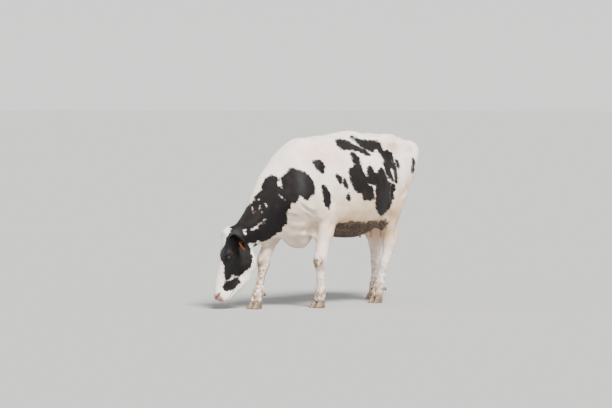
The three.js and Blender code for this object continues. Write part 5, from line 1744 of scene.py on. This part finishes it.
class Locks:
    """A mesh of tapering strips, each of which takes its colour from where it grows."""

    def __init__(self, skin_object):
        mesh = skin_object.data
        self.skin = read_values(mesh.vertices, "co", 3)
        self.flat = np.zeros((len(mesh.vertices), 2))
        corners = read_values(mesh.loops, "vertex_index", 1, int)
        self.flat[corners] = read_values(mesh.uv_layers["OFBake"].data, "uv", 2)
        self.verts, self.faces, self.uvs, self.tints = [], [], [], []

    def grow(self, path, width, face_way, tint, steps=7):
        """Adds a strip along the path, facing `face_way`; tint is (black, cream, mud, worn, legs)."""
        line = curve_through(path, steps)
        count = len(line)
        root = self.flat[np.argmin(((self.skin - line[0]) ** 2).sum(1))]
        start = len(self.verts)
        for k, place in enumerate(line):
            t = k / (count - 1)
            way = unit(line[min(k + 1, count - 1)] - line[max(k - 1, 0)])
            across = unit(np.cross(way, face_way)) * width * (0.55 + 0.45 * min(t * 5, 1)) \
                * (1.03 - t ** 1.7) / 2
            bulge = unit(np.cross(across, way)) * width * 0.18
            for j, off in enumerate((-across, bulge, across)):
                self.verts.append(place + off)
                self.uvs.append(root + 0.003 * np.array([j / 2 - 0.5, t - 0.5]))
                self.tints.append(tint)
        for k in range(count - 1):
            a, b = start + 3 * k, start + 3 * k + 3
            self.faces += [[a, a + 1, b + 1, b], [a + 1, a + 2, b + 2, b + 1]]

    def finish(self, name, material):
        mesh = bpy.data.meshes.new(name)
        mesh.from_pydata([tuple(v) for v in self.verts], [], self.faces)
        layer = mesh.uv_layers.new(name="OFBake")
        corners = read_values(mesh.loops, "vertex_index", 1, int)
        layer.data.foreach_set("uv", np.array(self.uvs)[corners].ravel())
        for k, label in enumerate(("black", "cream", "mud", "worn", "legs")):
            write_values(mesh, label, [t[k] for t in self.tints])
        mesh.materials.append(material)
        obj = new_object(name, mesh)
        shade_smooth(obj)
        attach(obj, "root")
        return obj


SWITCH_LOCKS = 640
UPPER_LASHES, LOWER_LASHES = 22, 12


def make_switch(skin_object, material):
    """The tail's switch: locks that leave the last of the dock and hang together, some of them dirty."""
    low, high = (np.array(corner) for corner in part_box("tail_switch"))
    rng = np.random.default_rng(5)
    path = curve_through(here(TAIL))
    middle = np.array([(low[0] + high[0]) / 2, (low[1] + high[1]) / 2, 0])
    half = np.array([(high[0] - low[0]) / 2, (high[1] - low[1]) / 2, 0]) * 0.92
    locks = Locks(skin_object)
    for _ in range(SWITCH_LOCKS):
        t = rng.uniform(0.80, 0.995)
        place, way = point_on(path, t)
        turn = rng.uniform(0, 2 * math.pi)
        side = unit(np.cross(way, [1.0, 0.2, 0.1]))
        off = math.cos(turn) * side + math.sin(turn) * np.cross(way, side)
        root = place + off * (tail_radius(t) - FINE_COAT) * 0.8
        length = rng.uniform(0.45, 1.0) ** 0.7
        tip_height = high[2] - 0.02 + (low[2] + 0.003 - high[2]) * length * (0.72 + 0.28 * (t - 0.8) / 0.2)
        reach = math.sin(math.pi * min(0.92, 0.25 + 0.75 * length)) ** 0.8
        inner = rng.uniform(0.25, 1.0)
        belly_height = 0.5 * (root[2] + tip_height)
        swell = [middle[0] + math.cos(turn) * half[0] * inner, middle[1] + math.sin(turn) * half[1] * inner,
                 belly_height]
        tip = [middle[0] + math.cos(turn + 0.3) * half[0] * inner * 0.30 * (1 - reach) + rng.normal(0, 0.004),
               middle[1] + math.sin(turn + 0.3) * half[1] * inner * 0.30 + rng.normal(0, 0.004), tip_height]
        if root[2] - tip_height < 0.03:
            continue
        leave = root + way * 0.02 + off * 0.003
        tint = (-0.05, rng.uniform(0.2, 1.0), 0.0, rng.uniform(0, 0.5) * (rng.random() < 0.4), 1.0)
        locks.grow([root, leave, swell, tip], rng.uniform(0.006, 0.013), off, tint)
    switch = locks.finish("switch_locks", material)
    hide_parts("tail_switch")
    return switch


def make_lashes(skin_object, material):
    rng = np.random.default_rng(8)
    locks = Locks(skin_object)
    for eye, side in ((LEFT_EYE, 1), (RIGHT_EYE, -1)):
        look, long, lift = eye_axes(side)
        for k in range(UPPER_LASHES + LOWER_LASHES):
            upper = k < UPPER_LASHES
            s = (k / (UPPER_LASHES - 1) if upper else (k - UPPER_LASHES) / (LOWER_LASHES - 1)) * 1.7 - 0.85
            a = s * LID_LENGTH
            tall = LID_ABOVE if upper else -LID_BELOW
            b = tall * 1.04 * (1 - abs(s) ** 1.8) ** 0.5
            ahead = math.sqrt(max((EYE_RADIUS + LID_DEPTH) ** 2 - a * a - b * b, 0)) + 0.0008
            root = eye + long * a + lift * b + look * ahead
            away = unit(look * 0.9 + lift * (0.5 if upper else -0.6) + long * s * 0.35
                        + rng.normal(0, 0.06, 3))
            length = (0.017 if upper else 0.007) * rng.uniform(0.8, 1.15)
            bent = unit(away + lift * (1.2 if upper else -0.8))
            locks.grow([root - away * 0.002, root + away * length * 0.5, root + away * length * 0.7
                        + bent * length * 0.35], 0.0015, long, (0.05, 0, 0, 0, 1), 3)
    return locks.finish("lashes", material)


# ------------------------------------------------------------------ putting her together

skin_object = make_skin()
mark_skin(skin_object)
unwrap(skin_object)
shade_smooth(skin_object)
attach(skin_object, "root")
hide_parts(*FLESH, "left_ear", "right_ear")
hide = hide_group(strand_group())
skin_material = hide_material("hide", hide, bump=0.55, sheen=0.03)
coat_material = hide_material("hair", hide, bump=0.15, sheen=0.06)
skin_object.data.materials.clear()
skin_object.data.materials.append(skin_material)
eye_finish = eye_material()
for name, node, side in (("left_eyeball", "left_eye", 1), ("right_eyeball", "right_eye", -1)):
    make_eyeball(name, node, side).data.materials.append(eye_finish)

horn_finish = horn_material()
for leg in LEGS:
    make_foot(leg).data.materials.append(horn_finish)
tag_finish = tag_material()
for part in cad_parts["ear_tag"].material_slots:
    part.material = tag_finish
make_switch(skin_object, coat_material)
make_lashes(skin_object, coat_material)
tufts = tuft_tree(coat_material)
for name, seed in COAT_SEEDS.items():
    coat = strew(name, skin_object, tufts, {"Per square metre": TUFTS_PER_SQUARE_METRE, "Seed": seed})
    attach(coat, "root")
make_stage()
make_camera()
make_light()
